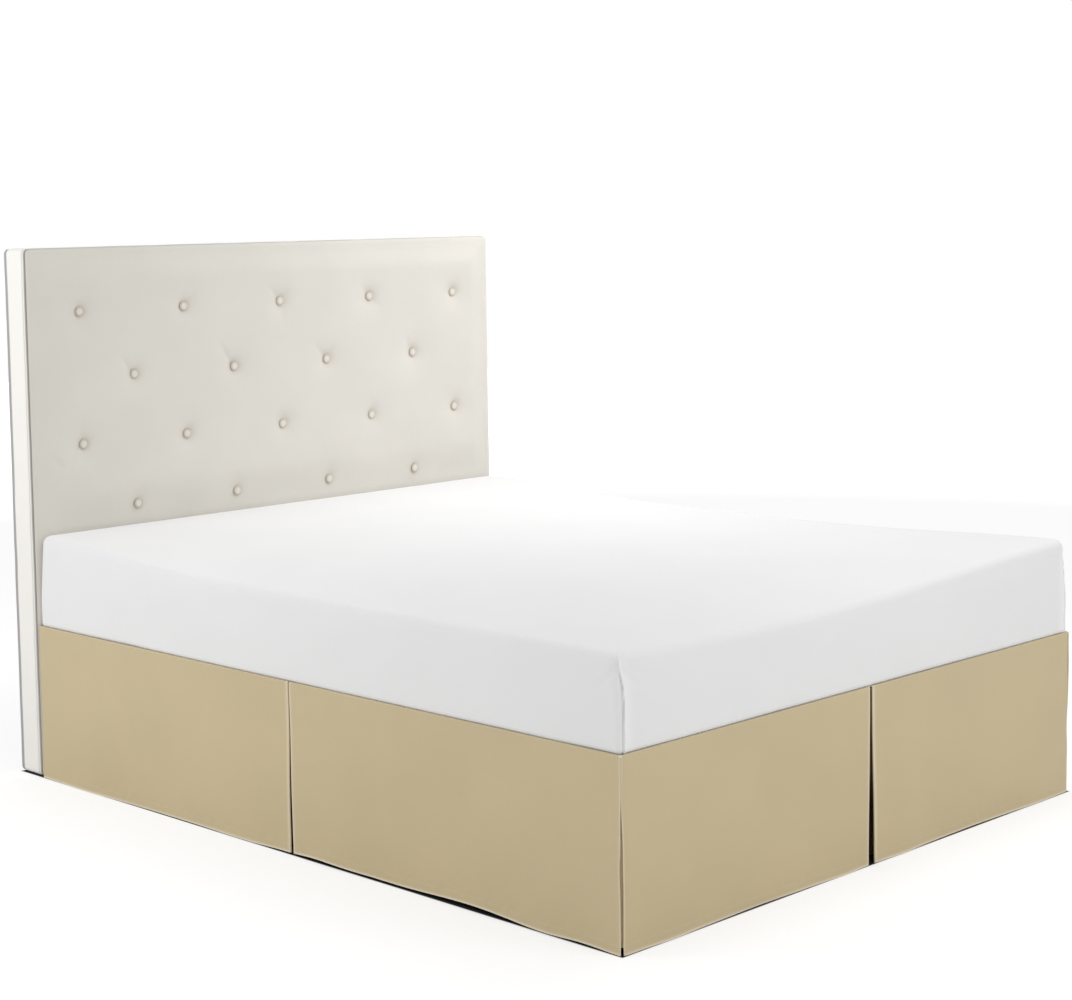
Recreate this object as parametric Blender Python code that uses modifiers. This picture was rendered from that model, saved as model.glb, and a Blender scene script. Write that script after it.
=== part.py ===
"""Bed skirt with split corners, on a plain bed with an upholstered headboard.

Metres, +Z up. The origin is on the floor under the middle of the bed. The foot of the
bed looks along -Y and the headboard stands at +Y.
"""

import math
from collections import namedtuple

import bmesh
import bpy

# The bed, over the outer faces of its skirt
BED_WIDE = 1.600
BED_LONG = 2.000
BOARD_THICK = 0.105
BOARD_HIGH = 1.345
DROP_TOP = 0.3882

# Gaps between pieces that touch, and between pieces that only lie side by side
TOUCH = 0.0003
BESIDE = 0.002

# Cloth
CLOTH = 0.0013
PLATFORM_CLOTH = 0.0015
PLATFORM_IN = 0.001

# The pleats: how far a fold reaches to each side, the step between its layers, and how
# far down the inner layers come free of the foundation and spread inwards
PLEAT_DEEP = 0.090
LAYER = 0.0045
FREE_FROM = 0.45
LAYER_SPREAD = 0.012

# The split corners: the turn of a drop's curled end, and the slit, which stays shut near
# the seam, is widest lower down and closes a little towards the hem
CURL_TURN = math.radians(40.0)
PLAIN_END = 0.004
CORNER_GAP = 0.0014
CORNER_OPEN = 0.0042
SHUT_DOWN = 0.15
WIDEST_DOWN = 0.62
HEM_CLOSING = 0.2

# The insets behind the split corners
INSET_REACH = 0.110
INSET_IN_TOP = 0.0065
INSET_IN_HEM = 0.0150
INSET_ROUND = 0.012
INSET_HEM = 0.014

# The mattress
MATTRESS_HIGH = 0.234
MATTRESS_IN = 0.005
MATTRESS_CORNER = 0.046
MATTRESS_TOP_ROUND = 0.045
MATTRESS_BASE_ROUND = 0.014

# The foundation and its legs
BASE_HIGH = 0.188
BASE_IN = 0.020
BASE_ROUND = 0.008
LEG_RADIUS = 0.025
LEG_IN = 0.100
LEG_ROUND = 0.003

# The headboard's padding and its buttons
BOARD_ROUND = 0.012
BUTTON_RADIUS = 0.013
BUTTON_HIGH = 0.005
BUTTON_ROUND = 0.002
BUTTON_STEP_X = 0.325
BUTTON_STEP_Z = 0.170
BUTTON_TOP_Z = 1.182
BUTTON_ROWS = (5, 4, 5, 4)

# Worked out from the sizes above
HALF_WIDE = BED_WIDE / 2
FOOT_Y = -(BED_LONG + BOARD_THICK) / 2
BOARD_Y = FOOT_Y + BED_LONG
PLATFORM_BASE = DROP_TOP + TOUCH
PLATFORM_TOP = PLATFORM_BASE + PLATFORM_CLOTH
BASE_TOP = PLATFORM_BASE - TOUCH
BASE_BASE = BASE_TOP - BASE_HIGH
MATTRESS_BASE = PLATFORM_TOP + TOUCH

# How far down each row of a drop's cloth lies, from its top edge to its hem
ROWS_DOWN = (0.0, 0.15, 0.30, 0.45, 0.60, 0.74, 0.87, 1.0)

# Faces along each stretch of a drop's cloth, and of an inset's
CURL_STEPS = 4
PANEL_STEPS = 12
FOLD_STEPS = 4
LAYER_STEPS = 4
HALF_BACK_STEPS = 4
INSET_STEPS = 4
INSET_TURN_STEPS = 6

Fold = namedtuple("Fold", "at wide out")
Lift = namedtuple("Lift", "at high")
Drop = namedtuple("Drop", "length gap_top gap_hem back curl_start curl_end folds lifts")

# Soft folds: place along the drop as a share of its length, width, and reach at the hem
SIDE_FOLDS = (
    Fold(at=0.10, wide=0.10, out=0.005),
    Fold(at=0.27, wide=0.16, out=-0.003),
    Fold(at=0.43, wide=0.09, out=0.004),
    Fold(at=0.60, wide=0.12, out=0.003),
    Fold(at=0.76, wide=0.14, out=-0.002),
    Fold(at=0.90, wide=0.12, out=0.004),
)
FOOT_FOLDS = (
    Fold(at=0.09, wide=0.08, out=0.004),
    Fold(at=0.26, wide=0.14, out=-0.003),
    Fold(at=0.44, wide=0.07, out=0.004),
    Fold(at=0.57, wide=0.08, out=0.005),
    Fold(at=0.74, wide=0.13, out=-0.002),
    Fold(at=0.91, wide=0.10, out=0.004),
)

# How high the hem clears the floor, at shares of the drop's length
SIDE_LIFTS = (
    Lift(at=0.00, high=0.0010),
    Lift(at=0.08, high=0.0050),
    Lift(at=0.24, high=0.0125),
    Lift(at=0.38, high=0.0075),
    Lift(at=0.50, high=0.0030),
    Lift(at=0.62, high=0.0020),
    Lift(at=0.76, high=0.0050),
    Lift(at=0.88, high=0.0025),
    Lift(at=1.00, high=0.0010),
)
FOOT_LIFTS = (
    Lift(at=0.00, high=0.0010),
    Lift(at=0.10, high=0.0045),
    Lift(at=0.24, high=0.0060),
    Lift(at=0.38, high=0.0035),
    Lift(at=0.50, high=0.0015),
    Lift(at=0.60, high=0.0030),
    Lift(at=0.76, high=0.0060),
    Lift(at=0.90, high=0.0045),
    Lift(at=1.00, high=0.0010),
)

SIDE_DROP = Drop(
    length=BED_LONG - BESIDE,
    gap_top=0.004,
    gap_hem=0.010,
    back=0.040,
    curl_start=0.007,
    curl_end=0.0,
    folds=SIDE_FOLDS,
    lifts=SIDE_LIFTS,
)
FOOT_DROP = Drop(
    length=BED_WIDE,
    gap_top=0.006,
    gap_hem=0.021,
    back=0.045,
    curl_start=0.014,
    curl_end=0.014,
    folds=FOOT_FOLDS,
    lifts=FOOT_LIFTS,
)

SKIRT_COLOUR = (0.52, 0.43, 0.26)
WHITE_COLOUR = (0.86, 0.86, 0.85)
BOARD_COLOUR = (0.76, 0.73, 0.66)
TICKING_COLOUR = (0.60, 0.59, 0.56)
LEG_COLOUR = (0.05, 0.04, 0.035)


def clear_scene():
    for item in list(bpy.data.objects):
        bpy.data.objects.remove(item, do_unlink=True)


def part_collection():
    collection = bpy.data.collections.new("bed_skirt")
    bpy.context.scene.collection.children.link(collection)
    return collection


def material(name, colour, roughness):
    made = bpy.data.materials.new(name)
    made.use_nodes = True
    shader = made.node_tree.nodes["Principled BSDF"]
    shader.inputs["Base Color"].default_value = (*colour, 1.0)
    shader.inputs["Roughness"].default_value = roughness
    shader.inputs["Metallic"].default_value = 0.0
    return made


def add_object(name, shape, collection, finish):
    mesh = bpy.data.meshes.new(name)
    shape.to_mesh(mesh)
    shape.free()
    mesh.materials.append(finish)
    made = bpy.data.objects.new(name, mesh)
    collection.objects.link(made)
    return made


def smooth_step(share):
    held = min(1.0, max(0.0, share))
    return held * held * (3.0 - 2.0 * held)


def blend(low, high, share):
    return low + (high - low) * share


def lift_at(lifts, share):
    """Hem height above the floor, eased between the table's rows."""
    for before, after in zip(lifts, lifts[1:]):
        if share <= after.at:
            part = (share - before.at) / (after.at - before.at)
            return blend(before.high, after.high, smooth_step(part))
    return lifts[-1].high


def fold_reach(folds, share, down):
    """How far the soft folds push the cloth outwards, nothing at the seam."""
    reach = 0.0
    for fold in folds:
        off = (share - fold.at) / fold.wide
        reach += fold.out * math.exp(-4.0 * off * off)
    return reach * smooth_step(down)


def corner_opening(down):
    """The split corner is shut near the seam and open lower down."""
    opened = smooth_step((down - SHUT_DOWN) / (WIDEST_DOWN - SHUT_DOWN))
    closed = HEM_CLOSING * smooth_step((down - WIDEST_DOWN) / (1.0 - WIDEST_DOWN))
    return CORNER_OPEN * (opened - closed)


def inner_spread(down):
    """How far the pleat's inner layers are free to spread, from 0 to 1 at the hem."""
    return smooth_step((down - FREE_FROM) / (1.0 - FREE_FROM))


def curl_length(radius, down):
    """How much of the drop's length its end takes up, curled or plain."""
    if radius == 0.0:
        return PLAIN_END
    rise = radius * (1.0 - math.cos(CURL_TURN))
    return radius * math.sin(CURL_TURN) + rise + CORNER_GAP + corner_opening(down)


def curl(radius, down):
    """One end of a drop, curled inwards: its points from the free edge to the flat cloth."""
    start = curl_length(radius, down)
    if radius == 0.0:
        return [(start * step / CURL_STEPS, 0.0) for step in range(CURL_STEPS)]
    points = []
    for step in range(CURL_STEPS):
        turn = CURL_TURN * (1.0 - step / CURL_STEPS)
        points.append((start - radius * math.sin(turn), radius * (1.0 - math.cos(turn))))
    return points


def half_pleat(drop, down):
    """From the end of the outer panel to the middle of the pleat's back.

    Each point is the distance from the middle of the pleat, positive on the panel's own
    side, and the distance inwards.
    """
    bend = LAYER / 2
    free = inner_spread(down)
    edge = blend(drop.gap_top, drop.gap_hem, smooth_step(down)) / 2 + bend
    middle_in = LAYER + LAYER_SPREAD * free
    points = []
    for step in range(FOLD_STEPS):
        turn = math.pi * step / FOLD_STEPS
        points.append((edge - bend * math.sin(turn), bend * (1.0 - math.cos(turn))))
    for step in range(LAYER_STEPS):
        share = step / LAYER_STEPS
        points.append((blend(edge, PLEAT_DEEP, share), blend(LAYER, middle_in, share)))
    for step in range(FOLD_STEPS):
        turn = math.pi * step / FOLD_STEPS
        inwards = middle_in + bend * (1.0 - math.cos(turn))
        points.append((PLEAT_DEEP + bend * math.sin(turn), inwards))
    for step in range(HALF_BACK_STEPS):
        share = step / HALF_BACK_STEPS
        swell = drop.back * free * math.sin(math.pi / 2 * share)
        points.append((PLEAT_DEEP * (1.0 - share), middle_in + LAYER + swell))
    return points


def drop_row(drop, down):
    """One row of a drop's cloth: distance along the drop and distance inwards."""
    middle = drop.length / 2
    first = half_pleat(drop, down)
    deepest = 2 * LAYER + (LAYER_SPREAD + drop.back) * inner_spread(down)
    panel_start = curl_length(drop.curl_start, down)
    panel_end = drop.length - curl_length(drop.curl_end, down)
    slit = first[0][0]
    row = list(curl(drop.curl_start, down))
    for step in range(PANEL_STEPS):
        row.append((blend(panel_start, middle - slit, step / PANEL_STEPS), 0.0))
    row += [(middle - off, inwards) for off, inwards in first]
    row.append((middle, deepest))
    row += [(middle + off, inwards) for off, inwards in reversed(first)]
    for step in range(1, PANEL_STEPS + 1):
        row.append((blend(middle + slit, panel_end, step / PANEL_STEPS), 0.0))
    row += [(drop.length - along, inwards) for along, inwards in reversed(curl(drop.curl_end, down))]
    return row


def drop_points(drop):
    """Rows of (along, inwards, height) points for the middle of a drop's cloth."""
    rows = []
    for down in ROWS_DOWN:
        points = []
        for along, inwards in drop_row(drop, down):
            share = min(1.0, max(0.0, along / drop.length))
            out = fold_reach(drop.folds, share, down)
            height = blend(DROP_TOP, lift_at(drop.lifts, share), down)
            points.append((along, CLOTH / 2 + inwards - out, height))
        rows.append(points)
    return rows


def cloth_sheet(name, rows, place, thick, collection, finish):
    """A grid laid through rows of points, thickened evenly to both sides."""
    across = len(rows[0]) - 1
    down = len(rows) - 1
    shape = bmesh.new()
    bmesh.ops.create_grid(shape, x_segments=across, y_segments=down, size=1.0)
    for vertex in shape.verts:
        column = round((vertex.co.x + 1.0) / 2.0 * across)
        row = round((1.0 - vertex.co.y) / 2.0 * down)
        vertex.co = place(*rows[row][column])
    made = add_object(name, shape, collection, finish)
    solid = made.modifiers.new("thickness", "SOLIDIFY")
    solid.thickness = thick
    solid.offset = 0.0
    solid.use_even_offset = True
    return made


def side_drop(name, side, collection, finish):
    def place(along, inwards, height):
        return (side * (HALF_WIDE - inwards), FOOT_Y + along, height)

    cloth_sheet(name, drop_points(SIDE_DROP), place, CLOTH, collection, finish)


def foot_drop(name, collection, finish):
    def place(along, inwards, height):
        return (along - HALF_WIDE, FOOT_Y + inwards, height)

    cloth_sheet(name, drop_points(FOOT_DROP), place, CLOTH, collection, finish)


def inset_row(down):
    """One row of a corner inset: distances inwards from the side's and the foot's planes."""
    inwards = blend(INSET_IN_TOP, INSET_IN_HEM, smooth_step(down)) + CLOTH / 2
    turn_start = inwards + INSET_ROUND
    row = []
    for step in range(INSET_STEPS):
        row.append((inwards, blend(INSET_REACH, turn_start, step / INSET_STEPS)))
    for step in range(INSET_TURN_STEPS + 1):
        turn = math.pi / 2 * step / INSET_TURN_STEPS
        row.append(
            (
                inwards + INSET_ROUND * (1.0 - math.cos(turn)),
                inwards + INSET_ROUND * (1.0 - math.sin(turn)),
            )
        )
    for step in range(1, INSET_STEPS + 1):
        row.append((blend(turn_start, INSET_REACH, step / INSET_STEPS), inwards))
    return row


def corner_inset(name, side, collection, finish):
    rows = []
    for down in ROWS_DOWN:
        height = blend(DROP_TOP, INSET_HEM, down)
        rows.append([(from_side, from_foot, height) for from_side, from_foot in inset_row(down)])

    def place(from_side, from_foot, height):
        return (side * (HALF_WIDE - from_side), FOOT_Y + from_foot, height)

    cloth_sheet(name, rows, place, CLOTH, collection, finish)


def block(size, centre):
    """A box of the given size, its middle at centre."""
    shape = bmesh.new()
    bmesh.ops.create_cube(shape, size=1.0)
    bmesh.ops.scale(shape, vec=size, verts=shape.verts)
    bmesh.ops.translate(shape, vec=centre, verts=shape.verts)
    return shape


def round_edges(shape, chosen, radius, segments):
    edges = [edge for edge in shape.edges if chosen(edge)]
    bmesh.ops.bevel(
        shape,
        geom=edges,
        offset=radius,
        segments=segments,
        profile=0.5,
        affect="EDGES",
        clamp_overlap=True,
    )


def is_upright(edge):
    first, second = edge.verts
    return abs(first.co.z - second.co.z) > 0.9 * edge.calc_length()


def lies_at(height):
    def chosen(edge):
        return all(abs(vertex.co.z - height) < TOUCH for vertex in edge.verts)

    return chosen


def platform(collection, finish):
    """The flat sheet between mattress and foundation, to the skirt's top seam."""
    low_y = FOOT_Y + PLATFORM_IN
    high_y = BOARD_Y - BESIDE
    wide = BED_WIDE - 2 * PLATFORM_IN
    size = (wide, high_y - low_y, PLATFORM_CLOTH)
    centre = (0.0, (low_y + high_y) / 2, (PLATFORM_BASE + PLATFORM_TOP) / 2)
    add_object("platform", block(size, centre), collection, finish)


def mattress(collection, finish):
    low_y = FOOT_Y + MATTRESS_IN
    high_y = BOARD_Y - BESIDE
    top = MATTRESS_BASE + MATTRESS_HIGH
    size = (BED_WIDE - 2 * MATTRESS_IN, high_y - low_y, MATTRESS_HIGH)
    centre = (0.0, (low_y + high_y) / 2, MATTRESS_BASE + MATTRESS_HIGH / 2)
    shape = block(size, centre)
    round_edges(shape, is_upright, MATTRESS_CORNER, 5)
    round_edges(shape, lies_at(top), MATTRESS_TOP_ROUND, 4)
    round_edges(shape, lies_at(MATTRESS_BASE), MATTRESS_BASE_ROUND, 3)
    add_object("mattress", shape, collection, finish)


def foundation(collection, finish):
    low_y = FOOT_Y + BASE_IN
    high_y = BOARD_Y - BESIDE
    size = (BED_WIDE - 2 * BASE_IN, high_y - low_y, BASE_HIGH)
    centre = (0.0, (low_y + high_y) / 2, (BASE_BASE + BASE_TOP) / 2)
    shape = block(size, centre)
    round_edges(shape, is_upright, BASE_ROUND, 2)
    add_object("foundation", shape, collection, finish)


def leg(name, x, y, collection, finish):
    high = BASE_BASE - TOUCH
    shape = bmesh.new()
    bmesh.ops.create_cone(
        shape,
        cap_ends=True,
        segments=20,
        radius1=LEG_RADIUS,
        radius2=LEG_RADIUS,
        depth=high,
    )
    round_edges(shape, lies_at(-high / 2), LEG_ROUND, 1)
    bmesh.ops.translate(shape, vec=(x, y, high / 2), verts=shape.verts)
    add_object(name, shape, collection, finish)


def legs(collection, finish):
    x = HALF_WIDE - LEG_IN
    places = (("foot", FOOT_Y + LEG_IN), ("middle", 0.0), ("head", BOARD_Y - LEG_IN))
    for row, y in places:
        for side_name, side in (("left", -1), ("right", 1)):
            leg(f"leg_{row}_{side_name}", side * x, y, collection, finish)


def headboard(collection, finish):
    size = (BED_WIDE, BOARD_THICK, BOARD_HIGH)
    centre = (0.0, BOARD_Y + BOARD_THICK / 2, BOARD_HIGH / 2)
    shape = block(size, centre)

    def above_floor(edge):
        return any(vertex.co.z > TOUCH for vertex in edge.verts)

    round_edges(shape, above_floor, BOARD_ROUND, 3)
    add_object("headboard", shape, collection, finish)


def button(name, x, z, collection, finish):
    """A covered button, its round face to the foot of the bed."""
    shape = bmesh.new()
    bmesh.ops.create_cone(
        shape,
        cap_ends=True,
        segments=16,
        radius1=BUTTON_RADIUS,
        radius2=BUTTON_RADIUS,
        depth=BUTTON_HIGH,
    )
    round_edges(shape, lies_at(BUTTON_HIGH / 2), BUTTON_ROUND, 2)
    made = add_object(name, shape, collection, finish)
    made.location = (x, BOARD_Y - TOUCH - BUTTON_HIGH / 2, z)
    made.rotation_euler = (math.pi / 2, 0.0, 0.0)


def buttons(collection, finish):
    """Rows of buttons, every other row half a step across: a diamond pattern."""
    for row, count in enumerate(BUTTON_ROWS):
        z = BUTTON_TOP_Z - row * BUTTON_STEP_Z
        for place in range(count):
            x = (place - (count - 1) / 2) * BUTTON_STEP_X
            button(f"button_{row + 1}_{place + 1}", x, z, collection, finish)


def main():
    clear_scene()
    collection = part_collection()
    skirt = material("skirt_cloth", SKIRT_COLOUR, 0.55)
    white = material("white_cloth", WHITE_COLOUR, 0.85)
    board = material("board_cloth", BOARD_COLOUR, 0.7)
    ticking = material("ticking", TICKING_COLOUR, 0.85)
    dark = material("leg_finish", LEG_COLOUR, 0.5)
    side_drop("drop_left", -1, collection, skirt)
    side_drop("drop_right", 1, collection, skirt)
    foot_drop("drop_foot", collection, skirt)
    corner_inset("inset_left", -1, collection, skirt)
    corner_inset("inset_right", 1, collection, skirt)
    platform(collection, white)
    mattress(collection, white)
    foundation(collection, ticking)
    legs(collection, dark)
    headboard(collection, board)
    buttons(collection, board)


main()
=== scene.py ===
"""Looks of a bed skirt with split corners, hung on its bed.

Metres, +Z up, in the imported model's frame: the foot of the bed looks along -Y and the
headboard stands at +Y. Each operator below makes one piece or one group of like pieces.
"""

import math
from collections import namedtuple

import bpy
import numpy as np
from bpy.props import FloatProperty, FloatVectorProperty, PointerProperty
from bpy.types import Operator, Panel, PropertyGroup
from mathutils import Matrix, Vector


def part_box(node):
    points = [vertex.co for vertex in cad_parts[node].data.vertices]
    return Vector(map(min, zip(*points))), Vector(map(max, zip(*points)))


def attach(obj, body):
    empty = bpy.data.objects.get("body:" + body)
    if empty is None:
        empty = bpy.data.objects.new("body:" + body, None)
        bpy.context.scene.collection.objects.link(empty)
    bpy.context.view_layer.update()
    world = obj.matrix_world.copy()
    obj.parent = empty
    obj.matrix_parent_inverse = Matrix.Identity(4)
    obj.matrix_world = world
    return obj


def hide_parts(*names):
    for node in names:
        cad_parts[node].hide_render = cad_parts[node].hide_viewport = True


bl_info = {
    "name": "Bed skirt on a bed",
    "version": (1, 0, 0),
    "blender": (4, 5, 0),
    "location": "3D View > Sidebar > Bedding",
    "description": "Pleated bed skirt with split corners, on a bed with a tufted headboard",
    "category": "Add Mesh",
}

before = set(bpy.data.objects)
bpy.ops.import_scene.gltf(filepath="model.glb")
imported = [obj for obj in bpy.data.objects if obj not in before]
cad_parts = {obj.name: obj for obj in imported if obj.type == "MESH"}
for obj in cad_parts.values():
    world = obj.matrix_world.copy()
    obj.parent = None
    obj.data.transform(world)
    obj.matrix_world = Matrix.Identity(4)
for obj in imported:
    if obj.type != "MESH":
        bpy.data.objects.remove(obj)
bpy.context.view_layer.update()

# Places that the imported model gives
BOARD_LOW, BOARD_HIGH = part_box("headboard")
MATTRESS_LOW, MATTRESS_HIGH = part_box("mattress")
BASE_LOW, BASE_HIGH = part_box("foundation")
PLATFORM_LOW, PLATFORM_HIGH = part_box("platform")
PLATFORM_IN = 0.001
HALF_WIDE = BOARD_HIGH.x
FOOT_Y = PLATFORM_LOW.y - PLATFORM_IN
BOARD_Y = BOARD_LOW.y
DROP_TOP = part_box("drop_left")[1].z
BESIDE = 0.002
SIDES = (("left", -1), ("right", 1))

# Faces along each stretch of a drop's cloth, and down it
CURL_STEPS = 8
FOLD_STEPS = 8
LAYER_STEPS = 14
BACK_STEPS = 12
PLAIN_STEPS = 2
PANEL_STEP = 0.0042
ROLL_STEPS = 7
BODY_STEPS = 34
HEM_STEPS = 21
HEM_ZONE = 3.2

# Faces along each stretch of an inset, down its body and down its hem
INSET_FLAT_STEPS = 26
INSET_TURN_STEPS = 10
INSET_BODY_STEPS = 30
INSET_HEM_POINTS = 9
INSET_HEM_FROM = 0.9
INSET_STITCHES = 0.012
INSET_GROOVE = 0.0015

# Faces across half of each block's face, how much they crowd to its edges, the rings down its
# walls, and how far the last of them lap under it
MATTRESS_CELLS = 66
MATTRESS_CROWD = 1.55
MATTRESS_RINGS = 44
BOARD_CELLS = 112
BOARD_CROWD = 1.12
ROUND_STEPS = 8
BORDER_IN = 0.0015
BASE_CELLS = 26
BASE_CROWD = 1.5
BASE_RINGS = 52
LAP_UNDER = 0.03

# Spans of a drop's unevenness, along it and down it, and its heights that no property sets
BROAD_ALONG = 0.21
BROAD_DOWN = 0.15
GATHER_ALONG = 0.035
GATHER_HIGH = 0.0004
PUCKER_ALONG = 0.0135
PUCKER_DOWN = 0.03
PUCKER_LEAN = 0.6
WAVE_DOWN = 0.055
WAVE_HIGH = 0.0012

# How far the stitches and edges of a drop act: pull, groove, band, raised hem, and the painted
# highlight lines along the hem, the slit's folds and the free edges
HEM_PULL = 0.011
HEM_GROOVE = 0.0016
HEM_RAISE = 0.0002
SIDE_GROOVE = 0.0014
EDGE_BAND = 0.05
EDGE_WAVE = 0.02
HEM_LINE = 0.0038
FOLD_LINE = 0.004
FREE_LINE = 0.002

# The platform's edge: how far it draws in between its corners and behind the pleats
PLATFORM_COLUMNS = 72
PLATFORM_ROWS = 88
PLATFORM_CROWD = 1.7
EDGE_DRAW = 0.0014
EDGE_REACH = 0.03
CORNER_REACH = 0.012
PLEAT_DENT = 0.006
DENT_WIDE = 0.04

# The foundation's border cords, its edges and corners, and how far its cover is slack
BASE_EDGE = 0.005
BASE_CORNER = 0.010
CORD_AT = 0.010
CORD_WIDE = 0.003
CORD_HIGH = 0.0012
COVER_IN = 0.0014

# A button's gathers and a leg's collar, neck and glide
RIM_GATHERS = 13.0
RIM_GATHER_HIGH = 0.018
LEG_COLLAR = 0.030
LEG_NECK = 0.026
LEG_GLIDE = 0.012

Fold = namedtuple("Fold", "at wide out")
Lift = namedtuple("Lift", "at high")
Drop = namedtuple("Drop", "length gap_top gap_hem back curl_start curl_end folds lifts seed")
# A strand's last field, how far it is tucked into a pleat, also sets the painted shade on its cloth.
Strand = namedtuple("Strand", "along inwards turned tucked")
Crease = namedtuple("Crease", "x z turn long deep")
Drag = namedtuple("Drag", "turn long deep wide")
Ring = namedtuple("Ring", "inset depth tilt")
Pull = namedtuple("Pull", "least swell at spread corner corner_spread head wall")
Lamp = namedtuple("Lamp", "name place aim spread power")

# Soft folds: place along the drop as a share of its length, width, and reach at the hem
SIDE_FOLDS = (
    Fold(at=0.10, wide=0.10, out=0.005),
    Fold(at=0.27, wide=0.16, out=-0.003),
    Fold(at=0.43, wide=0.09, out=0.004),
    Fold(at=0.60, wide=0.12, out=0.003),
    Fold(at=0.76, wide=0.14, out=-0.002),
    Fold(at=0.90, wide=0.12, out=0.004),
)
FOOT_FOLDS = (
    Fold(at=0.09, wide=0.08, out=0.004),
    Fold(at=0.26, wide=0.14, out=-0.003),
    Fold(at=0.44, wide=0.07, out=0.004),
    Fold(at=0.57, wide=0.08, out=0.005),
    Fold(at=0.74, wide=0.13, out=-0.002),
    Fold(at=0.91, wide=0.10, out=0.004),
)

# How high the hem clears the floor, at shares of the drop's length
SIDE_LIFTS = (
    Lift(at=0.00, high=0.0010),
    Lift(at=0.06, high=0.0055),
    Lift(at=0.10, high=0.0040),
    Lift(at=0.21, high=0.0105),
    Lift(at=0.32, high=0.0048),
    Lift(at=0.38, high=0.0058),
    Lift(at=0.45, high=0.0085),
    Lift(at=0.51, high=0.0040),
    Lift(at=0.57, high=0.0018),
    Lift(at=0.67, high=0.0022),
    Lift(at=0.80, high=0.0010),
    Lift(at=1.00, high=0.0010),
)
FOOT_LIFTS = (
    Lift(at=0.00, high=0.0010),
    Lift(at=0.10, high=0.0020),
    Lift(at=0.30, high=0.0012),
    Lift(at=0.50, high=0.0010),
    Lift(at=0.60, high=0.0018),
    Lift(at=0.76, high=0.0024),
    Lift(at=0.90, high=0.0016),
    Lift(at=1.00, high=0.0010),
)

SIDE_DROP = Drop(
    length=BOARD_Y - FOOT_Y - BESIDE,
    gap_top=0.004,
    gap_hem=0.010,
    back=0.040,
    curl_start=0.007,
    curl_end=0.0,
    folds=SIDE_FOLDS,
    lifts=SIDE_LIFTS,
    seed=11,
)
FOOT_DROP = Drop(
    length=2 * HALF_WIDE,
    gap_top=0.009,
    gap_hem=0.023,
    back=0.045,
    curl_start=0.014,
    curl_end=0.014,
    folds=FOOT_FOLDS,
    lifts=FOOT_LIFTS,
    seed=12,
)

# Pulls in the headboard's cover: their start, turn from straight up, length and depth
BOARD_CREASES = (
    Crease(x=-0.488, z=1.012, turn=0.70, long=0.085, deep=0.0030),
    Crease(x=-0.163, z=1.012, turn=0.65, long=0.110, deep=0.0034),
    Crease(x=0.163, z=1.012, turn=0.75, long=0.075, deep=0.0028),
    Crease(x=0.488, z=1.012, turn=0.60, long=0.065, deep=0.0024),
    Crease(x=0.163, z=1.012, turn=-0.60, long=0.060, deep=0.0022),
    Crease(x=-0.325, z=1.182, turn=-0.75, long=0.070, deep=0.0024),
    Crease(x=0.000, z=1.182, turn=0.70, long=0.075, deep=0.0026),
    Crease(x=0.000, z=1.182, turn=-0.80, long=0.050, deep=0.0020),
    Crease(x=0.325, z=1.182, turn=0.80, long=0.055, deep=0.0020),
    Crease(x=0.000, z=1.182, turn=3.20, long=0.110, deep=0.0018),
    Crease(x=-0.650, z=1.182, turn=2.50, long=0.060, deep=0.0018),
    Crease(x=0.325, z=1.182, turn=3.90, long=0.070, deep=0.0018),
    Crease(x=-0.705, z=0.777, turn=0.75, long=0.090, deep=0.0034),
    Crease(x=-0.705, z=0.777, turn=-0.70, long=0.070, deep=0.0028),
)

# How the sheet's pull on the mattress's upper edge varies: its least share and its swell round
# a place across the bed, what it loses at the far corner, how it fades towards the head, and
# the share of the wall that it reaches down
EDGE_PULL = Pull(
    least=0.72,
    swell=0.48,
    at=-0.30,
    spread=0.55,
    corner=0.85,
    corner_spread=0.42,
    head=0.75,
    wall=0.6,
)

# Drag lines of the fitted sheet, fanned out from below the top of each corner seam
DRAG_FROM = 0.04
DRAG_LINES = (
    Drag(turn=0.75, long=0.11, deep=0.0030, wide=0.009),
    Drag(turn=0.30, long=0.11, deep=0.0012, wide=0.010),
    Drag(turn=1.20, long=0.11, deep=0.0012, wide=0.012),
)

# Soft square lights: their places, what they face, the spread of their light in degrees,
# and their power in watts
LAMPS = (
    Lamp(name="head_light", place=(1.6, 0.0, 2.6), aim=(0.3, 0.95, 0.75), spread=75.0, power=5.0),
    Lamp(name="top_light", place=(0.7, -0.7, 3.0), aim=(0.6, -0.6, 0.6), spread=100.0, power=5.0),
    Lamp(name="side_light", place=(-2.6, 1.0, 1.9), aim=(-0.8, 0.4, 0.5), spread=180.0, power=13.0),
    Lamp(name="foot_light", place=(0.1, -3.0, 1.7), aim=(0.0, -1.0, 0.4), spread=180.0, power=8.0),
)


def size(name, default, description):
    """A property for a length in metres."""
    return FloatProperty(
        name=name, description=description, default=default, subtype="DISTANCE", unit="LENGTH"
    )


def share_of(name, default, description):
    """A property for a share from 0 to 1."""
    return FloatProperty(
        name=name, description=description, default=default, min=0.0, max=1.0, subtype="FACTOR"
    )


def turn_of(name, degrees, description):
    """A property for an angle, given in degrees."""
    return FloatProperty(
        name=name,
        description=description,
        default=math.radians(degrees),
        subtype="ANGLE",
        unit="ROTATION",
    )


def tint(name, default, description):
    """A property for a colour."""
    return FloatVectorProperty(
        name=name,
        description=description,
        default=default,
        size=3,
        min=0.0,
        max=1.0,
        subtype="COLOR",
    )


def spot(name, default, description):
    """A property for a place in the room."""
    return FloatVectorProperty(
        name=name,
        description=description,
        default=default,
        size=3,
        subtype="XYZ",
        unit="LENGTH",
    )


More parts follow.
